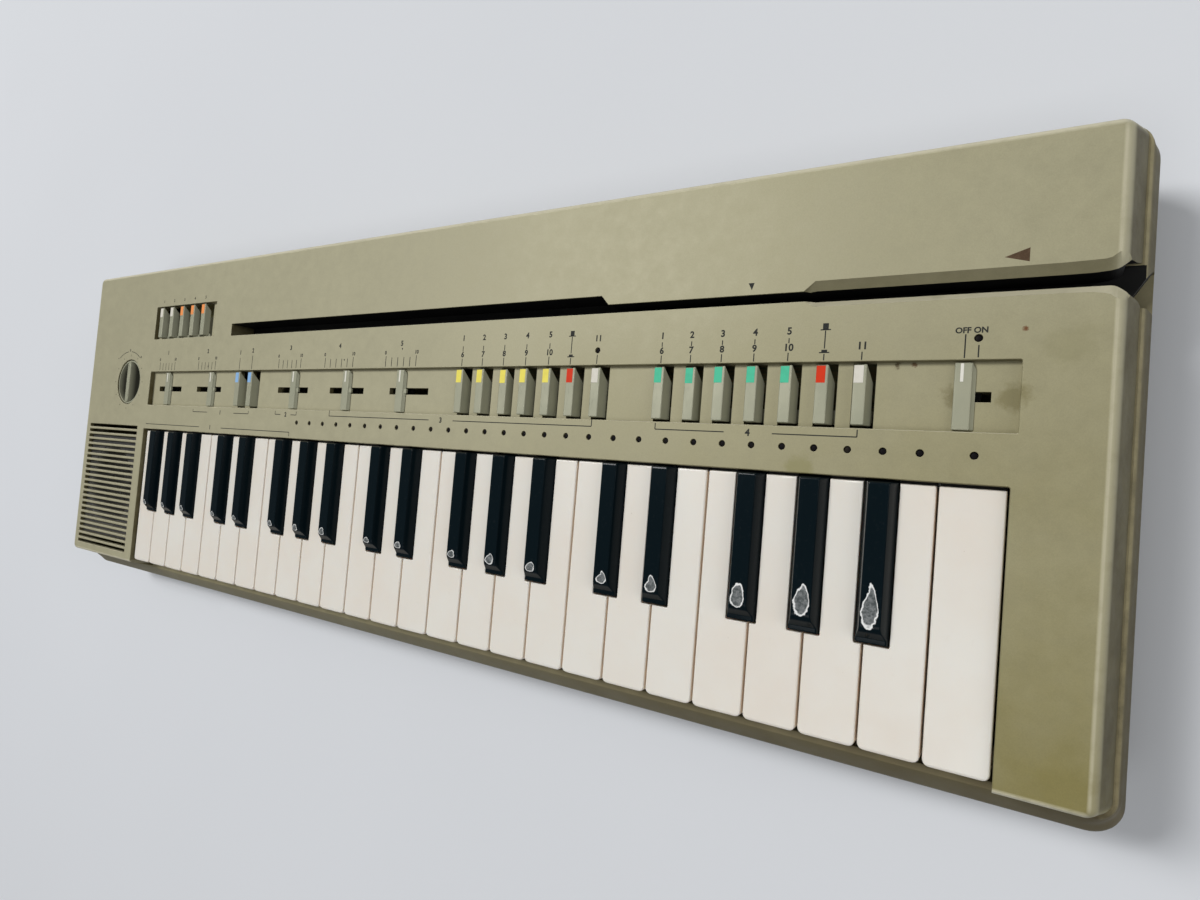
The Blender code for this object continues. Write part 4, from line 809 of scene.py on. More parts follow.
# Where each patch lies on its key: middle across, middle along, half width and half length, in millimetres
WORN = {
    "Fsharp5": (-0.3, 44.6, 2.6, 4.4), "Gsharp5": (0.0, 46.6, 2.7, 5.6), "Asharp5": (-0.4, 48.0, 2.5, 7.6),
    "Csharp5": (0.4, 42.6, 2.2, 2.6), "Dsharp5": (0.1, 43.4, 2.3, 3.4), "Asharp4": (-0.2, 42.0, 2.2, 2.2),
    "Gsharp4": (-0.4, 42.4, 2.1, 2.6), "Fsharp4": (-0.6, 41.6, 2.0, 1.8), "Dsharp4": (-0.7, 41.4, 2.0, 1.7),
    "Csharp4": (-0.8, 41.2, 1.9, 1.5), "Asharp3": (-0.9, 41.6, 2.0, 2.1), "Gsharp3": (-1.0, 41.2, 2.0, 1.9),
    "Fsharp3": (-1.2, 41.2, 1.9, 1.7), "Dsharp3": (-1.2, 40.8, 1.8, 1.4), "Csharp3": (-1.3, 40.8, 1.8, 1.5),
    "Asharp2": (-1.3, 41.0, 1.9, 1.8), "Gsharp2": (-1.5, 40.8, 1.8, 1.7), "Fsharp2": (-1.6, 40.9, 1.8, 1.7),
}


def black_ring(x, y, top):
    """A cross-section of a black key: upright at the foot, narrowing to a soft-edged top."""
    lean = (top - KEY_TOP) / BLACK_RISE
    half = BLACK_BASE / 2
    upper = half - (BLACK_BASE - BLACK_TOP_WIDTH) / 2 * lean
    side = Vector((half - upper, top - KEY_TOP)).normalized()
    edge = min(BLACK_EDGE, (top - KEY_TOP) * 0.4)
    right = [(half, KEY_BOTTOM), (half, KEY_TOP)]
    for i in range(5):
        t = i / 4
        start = Vector((upper + side.x * edge, top - side.y * edge))
        end = Vector((upper - edge, top))
        point = (1 - t)**2 * start + 2 * t * (1 - t) * Vector((upper, top)) + t**2 * end
        right.append(tuple(point))
    return [(x + px, y, pz) for px, pz in right] + [(x - px, y, pz) for px, pz in reversed(right)]


def black_key(x):
    """A black key over its steep round nose, with the arm that it turns on."""
    foot = KEY_TOP + BLACK_RISE * 0.26
    nose_end = BLACK_FRONT + BLACK_SLOPE
    stations = [(BLACK_FRONT, foot - 0.0006), (BLACK_FRONT + 0.0001, foot - 0.0003),
                (BLACK_FRONT + 0.0004, foot - 0.0001), (BLACK_FRONT + BLACK_FOOT, foot),
                (BLACK_FRONT + BLACK_FOOT + 0.0002, foot + 0.00015)]
    start = Vector((nose_end - 0.0030, BLACK_RISE * 0.60))
    bend = Vector((nose_end - 0.0016, BLACK_RISE))
    end = Vector((nose_end + 0.0004, BLACK_RISE))
    for i in range(9):
        t = i / 8
        point = (1 - t)**2 * start + 2 * t * (1 - t) * bend + t**2 * end
        stations.append((point.x, KEY_TOP + point.y))
    crown = KEY_TOP + BLACK_RISE
    stations += [(0.046, crown), (0.056, crown), (KEY_LENGTH - 0.0014, crown),
                 (KEY_LENGTH - 0.0007, crown - 0.0002), (KEY_LENGTH - 0.0003, crown - 0.0008)]
    bm = bmesh.new()
    skin(bm, [black_ring(x, y, top) for y, top in stations])
    half = BLACK_BASE / 2 - 0.0002
    return joined(bm, arm(x - half, x + half, KEY_LENGTH - 0.004))


def shifted(tree, operation, first, second):
    """A place worked out from two others."""
    return node(tree, "ShaderNodeVectorMath", {0: first, 1: second}, operation=operation).outputs[0]


ebony, ebony_tree, ebony_shader, ebony_place = start_finish("black_key", 0.16, 0.0, 0.10)
worn_place = node(ebony_tree, "ShaderNodeAttribute", attribute_name="worn").outputs["Vector"]
ragged_noise = node(ebony_tree, "ShaderNodeTexNoise", {"Vector": ebony_place, "Scale": 650.0, "Detail": 4.0})
ragged = shifted(ebony_tree, "SUBTRACT", ragged_noise.outputs["Color"], (0.5, 0.5, 0.5))
ragged = shifted(ebony_tree, "MULTIPLY", ragged, (0.5, 0.5, 0.0))
worn_spot = shifted(ebony_tree, "ADD", worn_place, ragged)
worn_out = node(ebony_tree, "ShaderNodeVectorMath", {0: worn_spot}, operation="LENGTH").outputs["Value"]
bare = between(ebony_tree, worn_out, 1.04, 0.98)
rim = times(ebony_tree, bare, between(ebony_tree, worn_out, 0.80, 0.90))
patchy = between(ebony_tree, clouds(ebony_tree, ebony_place, 900.0, 5.0, 0.7), 0.40, 0.62)
ebony_dust = between(ebony_tree, clouds(ebony_tree, ebony_place, 700.0, 5.0, 0.75), 0.58, 0.85, 0.0, 0.05)
ebony_colour = blended(ebony_tree, ebony_dust, EBONY, EBONY_DUST)
bare_colour = blended(ebony_tree, patchy, BARE_DARK, BARE_GREY)
ebony_colour = blended(ebony_tree, times(ebony_tree, bare, 0.92), ebony_colour, bare_colour)
ebony_colour = blended(ebony_tree, times(ebony_tree, rim, 0.95), ebony_colour, BARE_RIM)
coloured(ebony_tree, ebony_shader, ebony_colour, between(ebony_tree, bare, 0.0, 1.0, 0.17, 0.55))
bumped(ebony_tree, ebony_shader, between(ebony_tree, bare, 0.0, 1.0, 1.0, 0.0), 0.00008, 0.8)

for name, x in sharps():
    key = piece(black_key(x), f"black_{name}", name, "black_key", ebony, name)
    across, along, half_width, half_length = (size / 1000 for size in WORN[name.split("_")[1]])
    worn = key.data.attributes.new("worn", "FLOAT_VECTOR", "POINT")
    for vertex, place in zip(key.data.vertices, worn.data):
        drawn = vertex.co - PANEL
        back = (drawn.y - along) / half_length
        taper = 1 - WORN_TAPER * max(min(back, 1), -0.3)
        sideways = (drawn.x - x - across) / half_width / taper
        place.vector = (sideways, back, (KEY_TOP + BLACK_RISE - drawn.z) / WORN_DEPTH)

# Speaker
# A paper cone with a ribbed surround and a dust cap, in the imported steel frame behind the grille. Through
# the slots only its dark folds show.
GRILLE_LEFT = CREST_LEFT + 0.0051
GRILLE_RIGHT = -0.009
GRILLE_FRONT = 0.00465
GRILLE_SLOTS = 23
GRILLE_PITCH = 0.003907
SPEAKER_TOP = -0.0028
CONE_SIDES = 48
CONE_THICK = 0.0005
CONE_PAPER = (0.035, 0.033, 0.030)
CONE_FIBRE = (0.08, 0.075, 0.065)
SPEAKER_STEEL = (0.035, 0.035, 0.035)
SPEAKER_DUST = (0.07, 0.065, 0.06)

speaker_steel = clouded_finish("speaker_steel", (SPEAKER_STEEL, SPEAKER_DUST), (200.0, 4.0, 0.3, 0.7),
                               0.5, 0.4)
refinished("speaker", speaker_steel)

cone_finish, cone_tree, cone_shader, cone_place = start_finish("speaker_cone", 0.8)
cone_fibres = between(cone_tree, clouds(cone_tree, cone_place, 1200.0, 5.0, 0.7), 0.3, 0.7)
coloured(cone_tree, cone_shader, blended(cone_tree, cone_fibres, CONE_PAPER, CONE_FIBRE))
bumped(cone_tree, cone_shader, cone_fibres, 0.0002, 0.5)
speaker_x = (GRILLE_LEFT + GRILLE_RIGHT) / 2
speaker_y = GRILLE_FRONT + (GRILLE_SLOTS - 1) * GRILLE_PITCH / 2
# Radius and depth along the cone, from the outer edge of its surround to the middle of its dust cap
CONE_LINE = (
    (0.0315, -0.0012), (0.0305, -0.0004), (0.0290, -0.0001), (0.0275, -0.0008), (0.0262, -0.0020),
    (0.0200, -0.0074), (0.0120, -0.0140), (0.0108, -0.0148), (0.0098, -0.0120), (0.0070, -0.0098),
    (0.0035, -0.0087), (0.0004, -0.0084),
)
cone = bmesh.new()
upper_rings = [circle((speaker_x, speaker_y), radius, SPEAKER_TOP + z, CONE_SIDES) for radius, z in CONE_LINE]
lower_rings = [[(x, y, z - CONE_THICK) for x, y, z in ring] for ring in upper_rings]
skin(cone, lower_rings[::-1][:-1] + lower_rings[:1] + upper_rings)
piece(cone, "speaker_cone", "case", "speaker_cone", cone_finish)

# Guide lamps
# Small lenses of smoked plastic under the thirty holes behind the keys, with one over the start button and
# one over the power switch. Each is pushed up into its hole from inside, over its lamp. None of them is lit.
LAMP_Y = 0.0995
LAMP_HOLE = 0.0025
START_LAMP = (0.3670, 0.1362)
POWER_LAMP = (0.5092, 0.1368)
LENS = (0.0060, 0.0050, 0.0060)
LENS_DUST = (0.020, 0.016, 0.011)
# Each part of the lens's radius with its height, up to the crown
LENS_LINE = ((1.0, -0.0024), (1.0, -0.0008), (0.85, -0.0006), (0.5, -0.0005), (0.08, -0.00047))


def lamp_places():
    """The guide lamps stand over the middle of each key's tail, from the second G to the top C."""
    found = []
    for octave in (1, 2, 3):
        left = octave * 7 * KEY_PITCH
        found += [(left + 4 * KEY_PITCH * (i + 0.5) / 7, LAMP_Y) for i in range(2 if octave == 1 else 0, 7)]
        if octave < 3:
            found += [(left + 4 * KEY_PITCH + 3 * KEY_PITCH * (i + 0.5) / 5, LAMP_Y) for i in range(5)]
    return found + [(KEYS_WIDTH - KEY_PITCH / 2, LAMP_Y), START_LAMP, POWER_LAMP]


lens_finish = clouded_finish("lamp_lens", (LENS, LENS_DUST), (90.0, 2.0, 0.52, 0.66), 0.55, 0.0, 0.05)
lenses = bmesh.new()
for place in lamp_places():
    radius = LAMP_HOLE / 2 - 0.00015
    skin(lenses, [circle(place, radius * part, height, 20) for part, height in LENS_LINE])
piece(lenses, "lamp_lenses", "case", "lamp_lens", lens_finish)

# Transpose dial
# A dished disc with a straight grip bar across it, moulded in one in dyed plastic and turned by finger and
# thumb. It sits flush in a round hole of the panel, with its hub pressed onto the switch below.
DIAL_X = -0.0276
DIAL_Y = 0.1229
DIAL_RADIUS = 0.0154
DIAL_SINK = 0.0006
DIAL_THICK = 0.0052
DIAL_BAR = 0.0044
DIAL_SIDES = 96
# How far in from the dial's edge its side and its dish stand at each depth, and how far in from the bar's
# outline its side stands at each height
DIAL_LINE = ((0.0, 0.0003), (0.0001, 0.0001), (0.0003, 0.0))
DISH = ((0.0030, 0.0046), (0.0022, 0.0044), (0.0018, 0.0036), (0.0014, 0.0018), (0.0011, 0.0005),
        (0.0009, -0.0004))
BAR_LINE = ((-0.0006, -0.0048), (0.0, 0.0002), (0.0001, 0.0008), (0.0003, 0.0011), (0.0006, 0.0012))
CONTROL = (0.320, 0.317, 0.225)
CONTROL_GREY = (0.287, 0.290, 0.207)
CONTROL_GRIME = (0.15, 0.13, 0.08)
DISH_SHADE = (0.018, 0.018, 0.013)


def control_plastic(name, tone, second):
    """Dyed plastic of the knobs: smoother than the case, with grime in its fine scratches."""
    material, tree, shader, place = start_finish(name, 0.48, 0.12, 0.3)
    cloudy = between(tree, clouds(tree, place, 70.0, 4.0), 0.35, 0.65)
    colour = blended(tree, cloudy, tone, second)
    along = node(tree, "ShaderNodeMapping", {0: place, 3: (900.0, 60.0, 200.0)}).outputs[0]
    scratch = between(tree, clouds(tree, along, 1.0, 5.0, 0.7), 0.60, 0.80, 0.0, 0.22)
    colour = blended(tree, scratch, colour, CONTROL_GRIME)
    coloured(tree, shader, colour, between(tree, cloudy, 0.0, 1.0, 0.44, 0.54))
    bumped(tree, shader, clouds(tree, place, 1800.0, 2.0), 0.00005, 0.4)
    return material


knob_plastic = control_plastic("control_plastic", CONTROL, CONTROL_GREY)
dial_plastic = control_plastic("dial_plastic", CONTROL, CONTROL_GREY)
dial_tree = dial_plastic.node_tree
dial_shader = dial_tree.nodes["Principled BSDF"]
dial_place = node(dial_tree, "ShaderNodeTexCoord").outputs["Object"]
dial_height = node(dial_tree, "ShaderNodeSeparateXYZ", {0: dial_place}).outputs[2]
# Painted shade: the dish is painted darker the deeper it goes
dish_painted_shade = between(dial_tree, dial_height, PANEL.z - 0.0008, PANEL.z - 0.0036, 0.0, 0.85)
dial_colour = dial_shader.inputs["Base Color"].links[0].from_socket
coloured(dial_tree, dial_shader, blended(dial_tree, dish_painted_shade, dial_colour, DISH_SHADE))


def transpose_dial():
    """The dished disc, its grip bar and the hub below."""
    place = (DIAL_X, DIAL_Y)
    top, bottom = -DIAL_SINK, -DIAL_SINK - DIAL_THICK
    dial = bmesh.new()
    sides = [circle(place, DIAL_RADIUS - inset, top - depth, DIAL_SIDES) for inset, depth in DIAL_LINE]
    skin(dial, [circle(place, DIAL_RADIUS, bottom, DIAL_SIDES)] + sides)
    dish = bmesh.new()
    skin(dish, [circle(place, DIAL_RADIUS - inset, top - depth, DIAL_SIDES) for inset, depth in DISH])
    dial = carve(dial, dish)
    bar = bmesh.new()
    reach, half = DIAL_RADIUS - 0.0012, DIAL_BAR / 2
    rings = []
    for inset, height in BAR_LINE:
        low = (DIAL_X - half + inset, DIAL_Y - reach + inset)
        high = (DIAL_X + half - inset, DIAL_Y + reach - inset)
        rings.append(round_rectangle(low, high, 0.0016, top + height, 6))
    skin(bar, rings)
    hub = bmesh.new()
    disc(hub, place, 0.004, bottom - 0.004, bottom + 0.0005, 32)
    return joined(dial, bar, hub)


piece(transpose_dial(), "transpose_dial_knob", "transpose_dial", "control_plastic", dial_plastic,
      "transpose_dial")

# Sliders
# Six caps moulded in dyed plastic that run along slots in the tray, each on a black carriage whose foot
# holds it in from below. A white line is let into the back of each cap to read the scale by.
TRAY_LEFT = 0.0017
TRAY_RIGHT = KEYS_WIDTH + 0.0015
TRAY_FRONT = 0.107
TRAY_BACK = 0.1298
TRAY_FLOOR = -0.003
PAN_BOTTOM = -0.0055
CONTROL_Y = (TRAY_FRONT + TRAY_BACK) / 2
SLIDER_WIDTH = 0.0052
SLIDER_STEM = 0.0032
SLOT_WIDTH = 0.0033
INDEX_LENGTH = 0.0062
INDEX_WIDTH = 0.0010
INDEX_SIDE = 0.0004
CAP_LEAN = 0.0010
CAP_UNDERCUT = 0.0020
CAP_LOWER = 0.0010
NECK_WIDTH = 0.0022
FOOT_WIDTH = 0.006
SUNK = 0.00003
SLIDERS = ("master_volume_slider", "chord_volume_slider", "arpeggio_volume_slider",
           "rhythm_volume_slider", "tempo_slider", "power_slider")
INDEX_WHITE = (0.72, 0.70, 0.62)
INDEX_AGED = (0.62, 0.58, 0.46)
CARRIAGE_BLACK = (0.004, 0.004, 0.004)
CARRIAGE_DUST = (0.012, 0.011, 0.009)


def insert_finish(name, tone, aged):
    """Dull dyed plastic of the small plates that are let into the caps and the buttons."""
    material, tree, shader, place = start_finish(name, 0.5, 0.0, 0.12)
    share = between(tree, clouds(tree, place, 350.0, 4.0), 0.45, 0.8, 0.0, 0.6)
    coloured(tree, shader, blended(tree, share, tone, aged))
    bumped(tree, shader, clouds(tree, place, 1500.0), 0.00004, 0.3)
    return material


index_white = insert_finish("index_white", INDEX_WHITE, INDEX_AGED)


def soft_bar(bm, low, high, edge, left_lean=0.0, right_lean=0.0, undercut=0.0, corner=0.0004):
    """A bar with soft upper edges. Its sides lean in towards the top, and its back end is cut under."""
    foot_high = (high[0] + right_lean, high[1] - undercut)
    rings = [round_rectangle((low[0] - left_lean, low[1]), foot_high, corner, low[2], 3)]
    for i in range(4):
        turn = math.pi / 2 * i / 3
        lost = edge * (1 - math.cos(turn))
        rings.append(round_rectangle((low[0] + lost, low[1] + lost), (high[0] - lost, high[1] - lost),
                                     max(corner - lost, 0.00005), high[2] - edge + edge * math.sin(turn), 3))
    skin(bm, rings)


carriage_plastic = clouded_finish("carriage_plastic", (CARRIAGE_BLACK, CARRIAGE_DUST),
                                  (500.0, 4.0, 0.45, 0.8), 0.6, 0.0, 0.1)

for name in SLIDERS:
    low, high = (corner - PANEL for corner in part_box(name))
    x = (low.x + high.x) / 2
    half = SLIDER_WIDTH / 2
    cap = bmesh.new()
    cap_top = high.z - CAP_LOWER
    soft_bar(cap, (x - half, TRAY_FRONT + SLIDE, TRAY_FLOOR + GAP), (x + half, TRAY_BACK - SLIDE, cap_top),
             0.0004, 0.0001, CAP_LEAN, CAP_UNDERCUT)
    neck = bmesh.new()
    reach = SLIDER_STEM / 2 if name == "power_slider" else half + CAP_LEAN + 0.0010
    block(neck, (x - SLIDER_STEM / 2, CONTROL_Y - NECK_WIDTH / 2, TRAY_FLOOR + 0.0001),
          (x + reach, CONTROL_Y + NECK_WIDTH / 2, TRAY_FLOOR + 0.0011))
    groove = bmesh.new()
    line_left, line_right = x - INDEX_SIDE - INDEX_WIDTH / 2, x - INDEX_SIDE + INDEX_WIDTH / 2
    line_back = TRAY_BACK - SLIDE
    block(groove, (line_left, line_back - INDEX_LENGTH, cap_top - 0.0004),
          (line_right, TRAY_BACK, cap_top + 0.001))
    piece(carve(joined(cap, neck), groove), f"{name}_cap", name, "control_plastic", knob_plastic, name)
    line = bmesh.new()
    block(line, (line_left + SUNK, line_back - INDEX_LENGTH + SUNK, cap_top - 0.00038),
          (line_right - SUNK, line_back - 0.0003, cap_top + 0.00002))
    piece(line, f"{name}_line", name, "button_insert", index_white)
    carriage = bmesh.new()
    block(carriage, (x - SLIDER_STEM / 2 + GAP, CONTROL_Y - SLOT_WIDTH / 2 + SLIDE, low.z + 0.0005),
          (x + SLIDER_STEM / 2 - GAP, CONTROL_Y + SLOT_WIDTH / 2 - SLIDE, TRAY_FLOOR + 0.0001))
    foot = bmesh.new()
    block(foot, (low.x, CONTROL_Y - FOOT_WIDTH / 2, low.z),
          (high.x, CONTROL_Y + FOOT_WIDTH / 2, low.z + 0.0015))
    piece(joined(carriage, foot), f"{name}_carriage", name, "black_key", carriage_plastic, name)

# Push buttons
# Tall keys of dyed plastic that stand in wells of the tray on a sprung bar. Each has a coloured plate let
# into the back of its top. The one in use stays down a little.
BUTTON_PITCH = 0.0128
BUTTON_WIDTH = 0.0044
BUTTON_LEAN = 0.0013
BUTTON_FOOT = -0.0040
CARD_FOOT = -0.0026
BUTTON_UNDERCUT = 0.0056
BUTTON_NECK = 0.0024
NECK_FRONT = 0.0030
NECK_BACK = 0.0090
NECK_BOTTOM = -0.0076
BUTTON_TOP = 0.0009
BUTTON_SIDE = 0.0010
LATCHED = 0.0016
INSERT_LENGTH = 0.0064
INSERT_SIDE = 0.0010
BAR_FRONT = 0.0015
BAR_BACK = 0.0065
BAR_TOP = -0.0058
BAR_BOTTOM = -0.0088
CARD_BOX_FRONT = 0.1524
CARD_BOX_BACK = 0.1748
CARD_BOX_LEFT = 0.0017
CARD_BOX_RIGHT = 0.0752
CHORD_X = 0.1078
RHYTHM_X = 0.2907
VOICE_X = 0.3973
CARD_X = 0.0106
INSERTS = {
    "yellow": insert_finish("insert_yellow", (0.80, 0.69, 0.115), (0.62, 0.52, 0.10)),
    "red": insert_finish("insert_red", (0.62, 0.030, 0.002), (0.48, 0.030, 0.004)),
    "white": insert_finish("insert_white", (0.66, 0.63, 0.55), (0.54, 0.50, 0.41)),
    "green": insert_finish("insert_green", (0.070, 0.50, 0.30), (0.06, 0.38, 0.23)),
    "blue": insert_finish("insert_blue", (0.24, 0.43, 0.70), (0.22, 0.36, 0.54)),
    "orange": insert_finish("insert_orange", (0.85, 0.30, 0.09), (0.62, 0.24, 0.09)),
}
# Each bank's front and back, the colours of its plates, the middle of its first button and the number of
# the button that is latched
BANKS = {
    "accompaniment_buttons": (TRAY_FRONT, TRAY_BACK, "blue blue", CHORD_X, None),
    "rhythm": (TRAY_FRONT, TRAY_BACK, "yellow yellow yellow yellow yellow red white", RHYTHM_X, 2),
    "voice_buttons": (TRAY_FRONT, TRAY_BACK, "green green green green green red white", VOICE_X, 1),
    "card_buttons": (CARD_BOX_FRONT, CARD_BOX_BACK, "white white orange orange orange", CARD_X, None),
}


def bank_of_buttons(body, groups):
    """The buttons of one sprung bar as one piece, and their coloured plates as one piece of each colour."""
    low, high = (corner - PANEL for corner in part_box(body))
    bar = bmesh.new()
    bank_front = groups[0][0]
    block(bar, (low.x, bank_front + BAR_FRONT, BAR_BOTTOM), (high.x, bank_front + BAR_BACK, BAR_TOP))
    fingers, plates, seats = bmesh.new(), {}, bmesh.new()
    for front, back, colours, first, latched in groups:
        for i, colour in enumerate(colours.split()):
            x = first + i * BUTTON_PITCH
            top = BUTTON_TOP - (LATCHED if i == latched else 0)
            half = BUTTON_WIDTH / 2
            foot = CARD_FOOT if body == "card_buttons" else BUTTON_FOOT
            foot += top - BUTTON_TOP
            tall = BUTTON_TOP - BUTTON_FOOT
            lean = BUTTON_LEAN * (top - foot) / tall
            undercut = BUTTON_UNDERCUT * (top - foot) / tall
            soft_bar(fingers, (x - half, front + BUTTON_SIDE, foot), (x + half, back - BUTTON_SIDE, top),
                     0.0004, lean / 4, lean, undercut)
            block(fingers, (x - BUTTON_NECK / 2, front + NECK_FRONT, NECK_BOTTOM),
                  (x + BUTTON_NECK / 2, back - NECK_BACK, foot + 0.0010))
            plate_low = (x - half + 0.0002, back - BUTTON_SIDE - INSERT_LENGTH, top - 0.0005)
            plate_high = (x + half - INSERT_SIDE, back - BUTTON_SIDE - 0.0001, top + 0.001)
            block(seats, plate_low, plate_high)
            plates.setdefault(colour, bmesh.new())
            block(plates[colour], [value + SUNK for value in plate_low],
                  (plate_high[0] - SUNK, plate_high[1] - 0.0003, top + SUNK))
    buttons = carve(joined(fingers, bar), seats)
    piece(buttons, f"{body}_bank", body, "control_plastic", knob_plastic, body)
    for colour, plate in plates.items():
        piece(plate, f"{body}_{colour}", body, "button_insert", INSERTS[colour])


bank_of_buttons("accompaniment_buttons", [BANKS["accompaniment_buttons"], BANKS["rhythm"]])
bank_of_buttons("voice_buttons", [BANKS["voice_buttons"]])
bank_of_buttons("card_buttons", [BANKS["card_buttons"]])

# Upper case
# The panel and its skirt, moulded in one in black plastic and sprayed, with the speaker grille, the opening
# for the keys, the sunken tray, the card button box and the card slot. No paint reaches down into the slot,
# where the dark plastic shows and also stands in for the shade down there, and the slot's lips curve away at
# its mouth in the right side.
PANEL_THICK = 0.0025
BELOW_PANEL = -PANEL_THICK - 0.002
BELOW_PAN = PAN_BOTTOM - 0.001
SHOULDER_IN = 0.0008
SHOULDER_BEND = 0.0016
SHOULDER_OUT = 0.0028
SHOULDER_DROP = 0.0040
SKIRT_END = 0.0064
SLOT_LEFT = 0.0944
SLOT_STEP = 0.3668
SLOT_STEP_END = 0.3704
SLOT_FRONT = 0.1519
SLOT_BACK = 0.1593
SLOT_NARROW_BACK = 0.1554
SLOT_DEPTH = 0.0148
TROUGH_WALL = 0.0045
LIP_START = CREST_RIGHT - 0.0931
LIP_RUN = 0.0050
PAINT = (0.368, 0.345, 0.228)
PAINT_SHADE = (0.338, 0.316, 0.208)
PAINT_STAIN = (0.215, 0.186, 0.068)
SOFT_EDGE = 0.0004
GRILLE_SLOT = 0.0021
OPENING_SIDE = 0.0003
OPENING_BACK = 0.0903
SOCKET_RADIUS = 0.0055
WELL_LEFT = 0.0006
WELL_RIGHT = 0.0011
CARD_WELL_LEFT = 0.0016
CARD_WELL_RIGHT = 0.0012
# Stations along the lips: x from the crest, then y at the top of the front lip, y and z at its foot, y and
# z at the foot of the back lip, and y at its top
LIP_STATIONS = (
    (-0.0130, 0.1497, 0.1519, -0.0026, 0.1560, -0.0028, 0.1590),
    (-0.0061, 0.1495, 0.1519, -0.0026, 0.1561, -0.0028, 0.1592),
    (-0.0034, 0.1491, 0.1519, -0.0026, 0.1563, -0.0028, 0.1593),
    (-0.0019, 0.1486, 0.1519, -0.0027, 0.1565, -0.0028, 0.1597),
    (-0.0010, 0.1478, 0.1518, -0.0029, 0.1567, -0.0029, 0.1605),
    (-0.0002, 0.1472, 0.1515, -0.0031, 0.1570, -0.0031, 0.1612),
    (0.0007, 0.1461, 0.1510, -0.0035, 0.1576, -0.0035, 0.1621),
    (0.0019, 0.1444, 0.1502, -0.0041, 0.1587, -0.0041, 0.1638),
    (0.0029, 0.1428, 0.1492, -0.0046, 0.1597, -0.0045, 0.1653),
    (0.0200, 0.1428, 0.1492, -0.0046, 0.1597, -0.0045, 0.1653),
)
# Stains on the panel: place, size and colour of each, and how strong it is
STAINS = (
    ((0.5219, 0.1393, 0.0), 0.0009, (0.13, 0.040, 0.008), 0.9),
    ((0.5030, 0.1185, TRAY_FLOOR), 0.0042, (0.15, 0.125, 0.050), 0.6),
    ((0.5205, 0.1180, TRAY_FLOOR), 0.0058, (0.17, 0.145, 0.058), 0.6),
    ((0.4850, 0.1288, TRAY_FLOOR), 0.0014, (0.06, 0.040, 0.015), 0.8),
    ((0.4905, 0.1290, TRAY_FLOOR), 0.0010, (0.09, 0.035, 0.010), 0.8),
    ((0.4735, 0.1262, TRAY_FLOOR), 0.0008, (0.05, 0.036, 0.016), 0.8),
    ((0.5335, 0.1335, 0.0), 0.0075, (0.20, 0.185, 0.085), 0.22),
    ((0.4560, 0.0925, 0.0), 0.0060, (0.20, 0.185, 0.060), 0.45),
)
case_paint = satin_paint("case_paint", PAINT, PAINT_SHADE, PAINT_STAIN, 0.9)


def stained(material, centre, radius, tone, share):
    """A ragged stain in the finish, round centre."""
    tree = material.node_tree
    shader = tree.nodes["Principled BSDF"]
    sprayed = shader.inputs["Base Color"].links[0].from_socket
    place = node(tree, "ShaderNodeTexCoord").outputs["Object"]
    inputs = {0: place, 1: tuple(Vector(centre) + PANEL)}
    away = node(tree, "ShaderNodeVectorMath", inputs, operation="DISTANCE").outputs["Value"]
    cloud = clouds(tree, place, 0.9 / radius, 5.0, 0.65)
    ragged = between(tree, cloud, 0.3, 0.7, -0.5 * radius, 0.5 * radius)
    soaked = between(tree, reckoned(tree, "ADD", away, ragged), radius, radius * 0.45, 0.0, share)
    coloured(tree, shader, blended(tree, soaked, sprayed, tone))


for spot in STAINS:
    stained(case_paint, *spot)


def outer_top():
    """The outside of the upper case: a skirt that leans out, and a round shoulder up to the panel."""
    wall = [(-TOP_DEPTH, SKIRT_END), (-TOP_DEPTH + 0.0004, SKIRT_END)]
    for i in range(9):
        t = i / 8
        out = (1 - t)**2 * SHOULDER_OUT + 2 * t * (1 - t) * SHOULDER_BEND - t**2 * SHOULDER_IN
        wall.append((-SHOULDER_DROP * (1 - t)**2, out))
    front, back = SKIRT_FRONT / SKIRT_SIDE, SKIRT_BACK / SKIRT_SIDE
    bm = bmesh.new()
    skin(bm, [crest_ring(z, out, out * front, out * back, PLAN_CORNER + 0.3 * out) for z, out in wall])
    return bm


def top_cavity():
    """The inside of the upper case, less what the tray, the boxes and the trough are cut from."""
    cavity = bmesh.new()
    skin(cavity, [
        crest_ring(-TOP_DEPTH - OVER, SKIRT_END - WALL, SKIRT_FRONT - WALL, SKIRT_BACK - WALL, PLAN_CORNER),
        crest_ring(-TOP_DEPTH, SKIRT_END - WALL, SKIRT_FRONT - WALL, SKIRT_BACK - WALL, PLAN_CORNER),
        crest_ring(-PANEL_THICK, -WALL, -WALL, -WALL, PLAN_CORNER - WALL),
    ])
    kept = bmesh.new()
    for x in (-OPENING_SIDE - WALL, KEYS_WIDTH + OPENING_SIDE):
        block(kept, (x, CREST_FRONT - 0.010, -TOP_DEPTH - 2 * OVER), (x + WALL, OPENING_BACK, 0))
    block(kept, (TRAY_LEFT - WALL, TRAY_FRONT - WALL, PAN_BOTTOM), (TRAY_RIGHT + WALL, TRAY_BACK + WALL, 0))
    block(kept, (CARD_BOX_LEFT - WALL, CARD_BOX_FRONT - WALL, PAN_BOTTOM),
          (CARD_BOX_RIGHT + WALL, CARD_BOX_BACK + WALL, 0))
    block(kept, (SLOT_LEFT - WALL, SLOT_FRONT - TROUGH_WALL, -TOP_DEPTH - 2 * OVER),
          (CREST_RIGHT + 0.015, SLOT_BACK + TROUGH_WALL, 0))
    notch_low = (CREST_RIGHT - 0.008, NOTCH_FRONT, -TOP_DEPTH - 2 * OVER)
    block(kept, notch_low, (CREST_RIGHT + 0.015, NOTCH_BACK, 0))
    return carve(cavity, kept, overlapping=True)


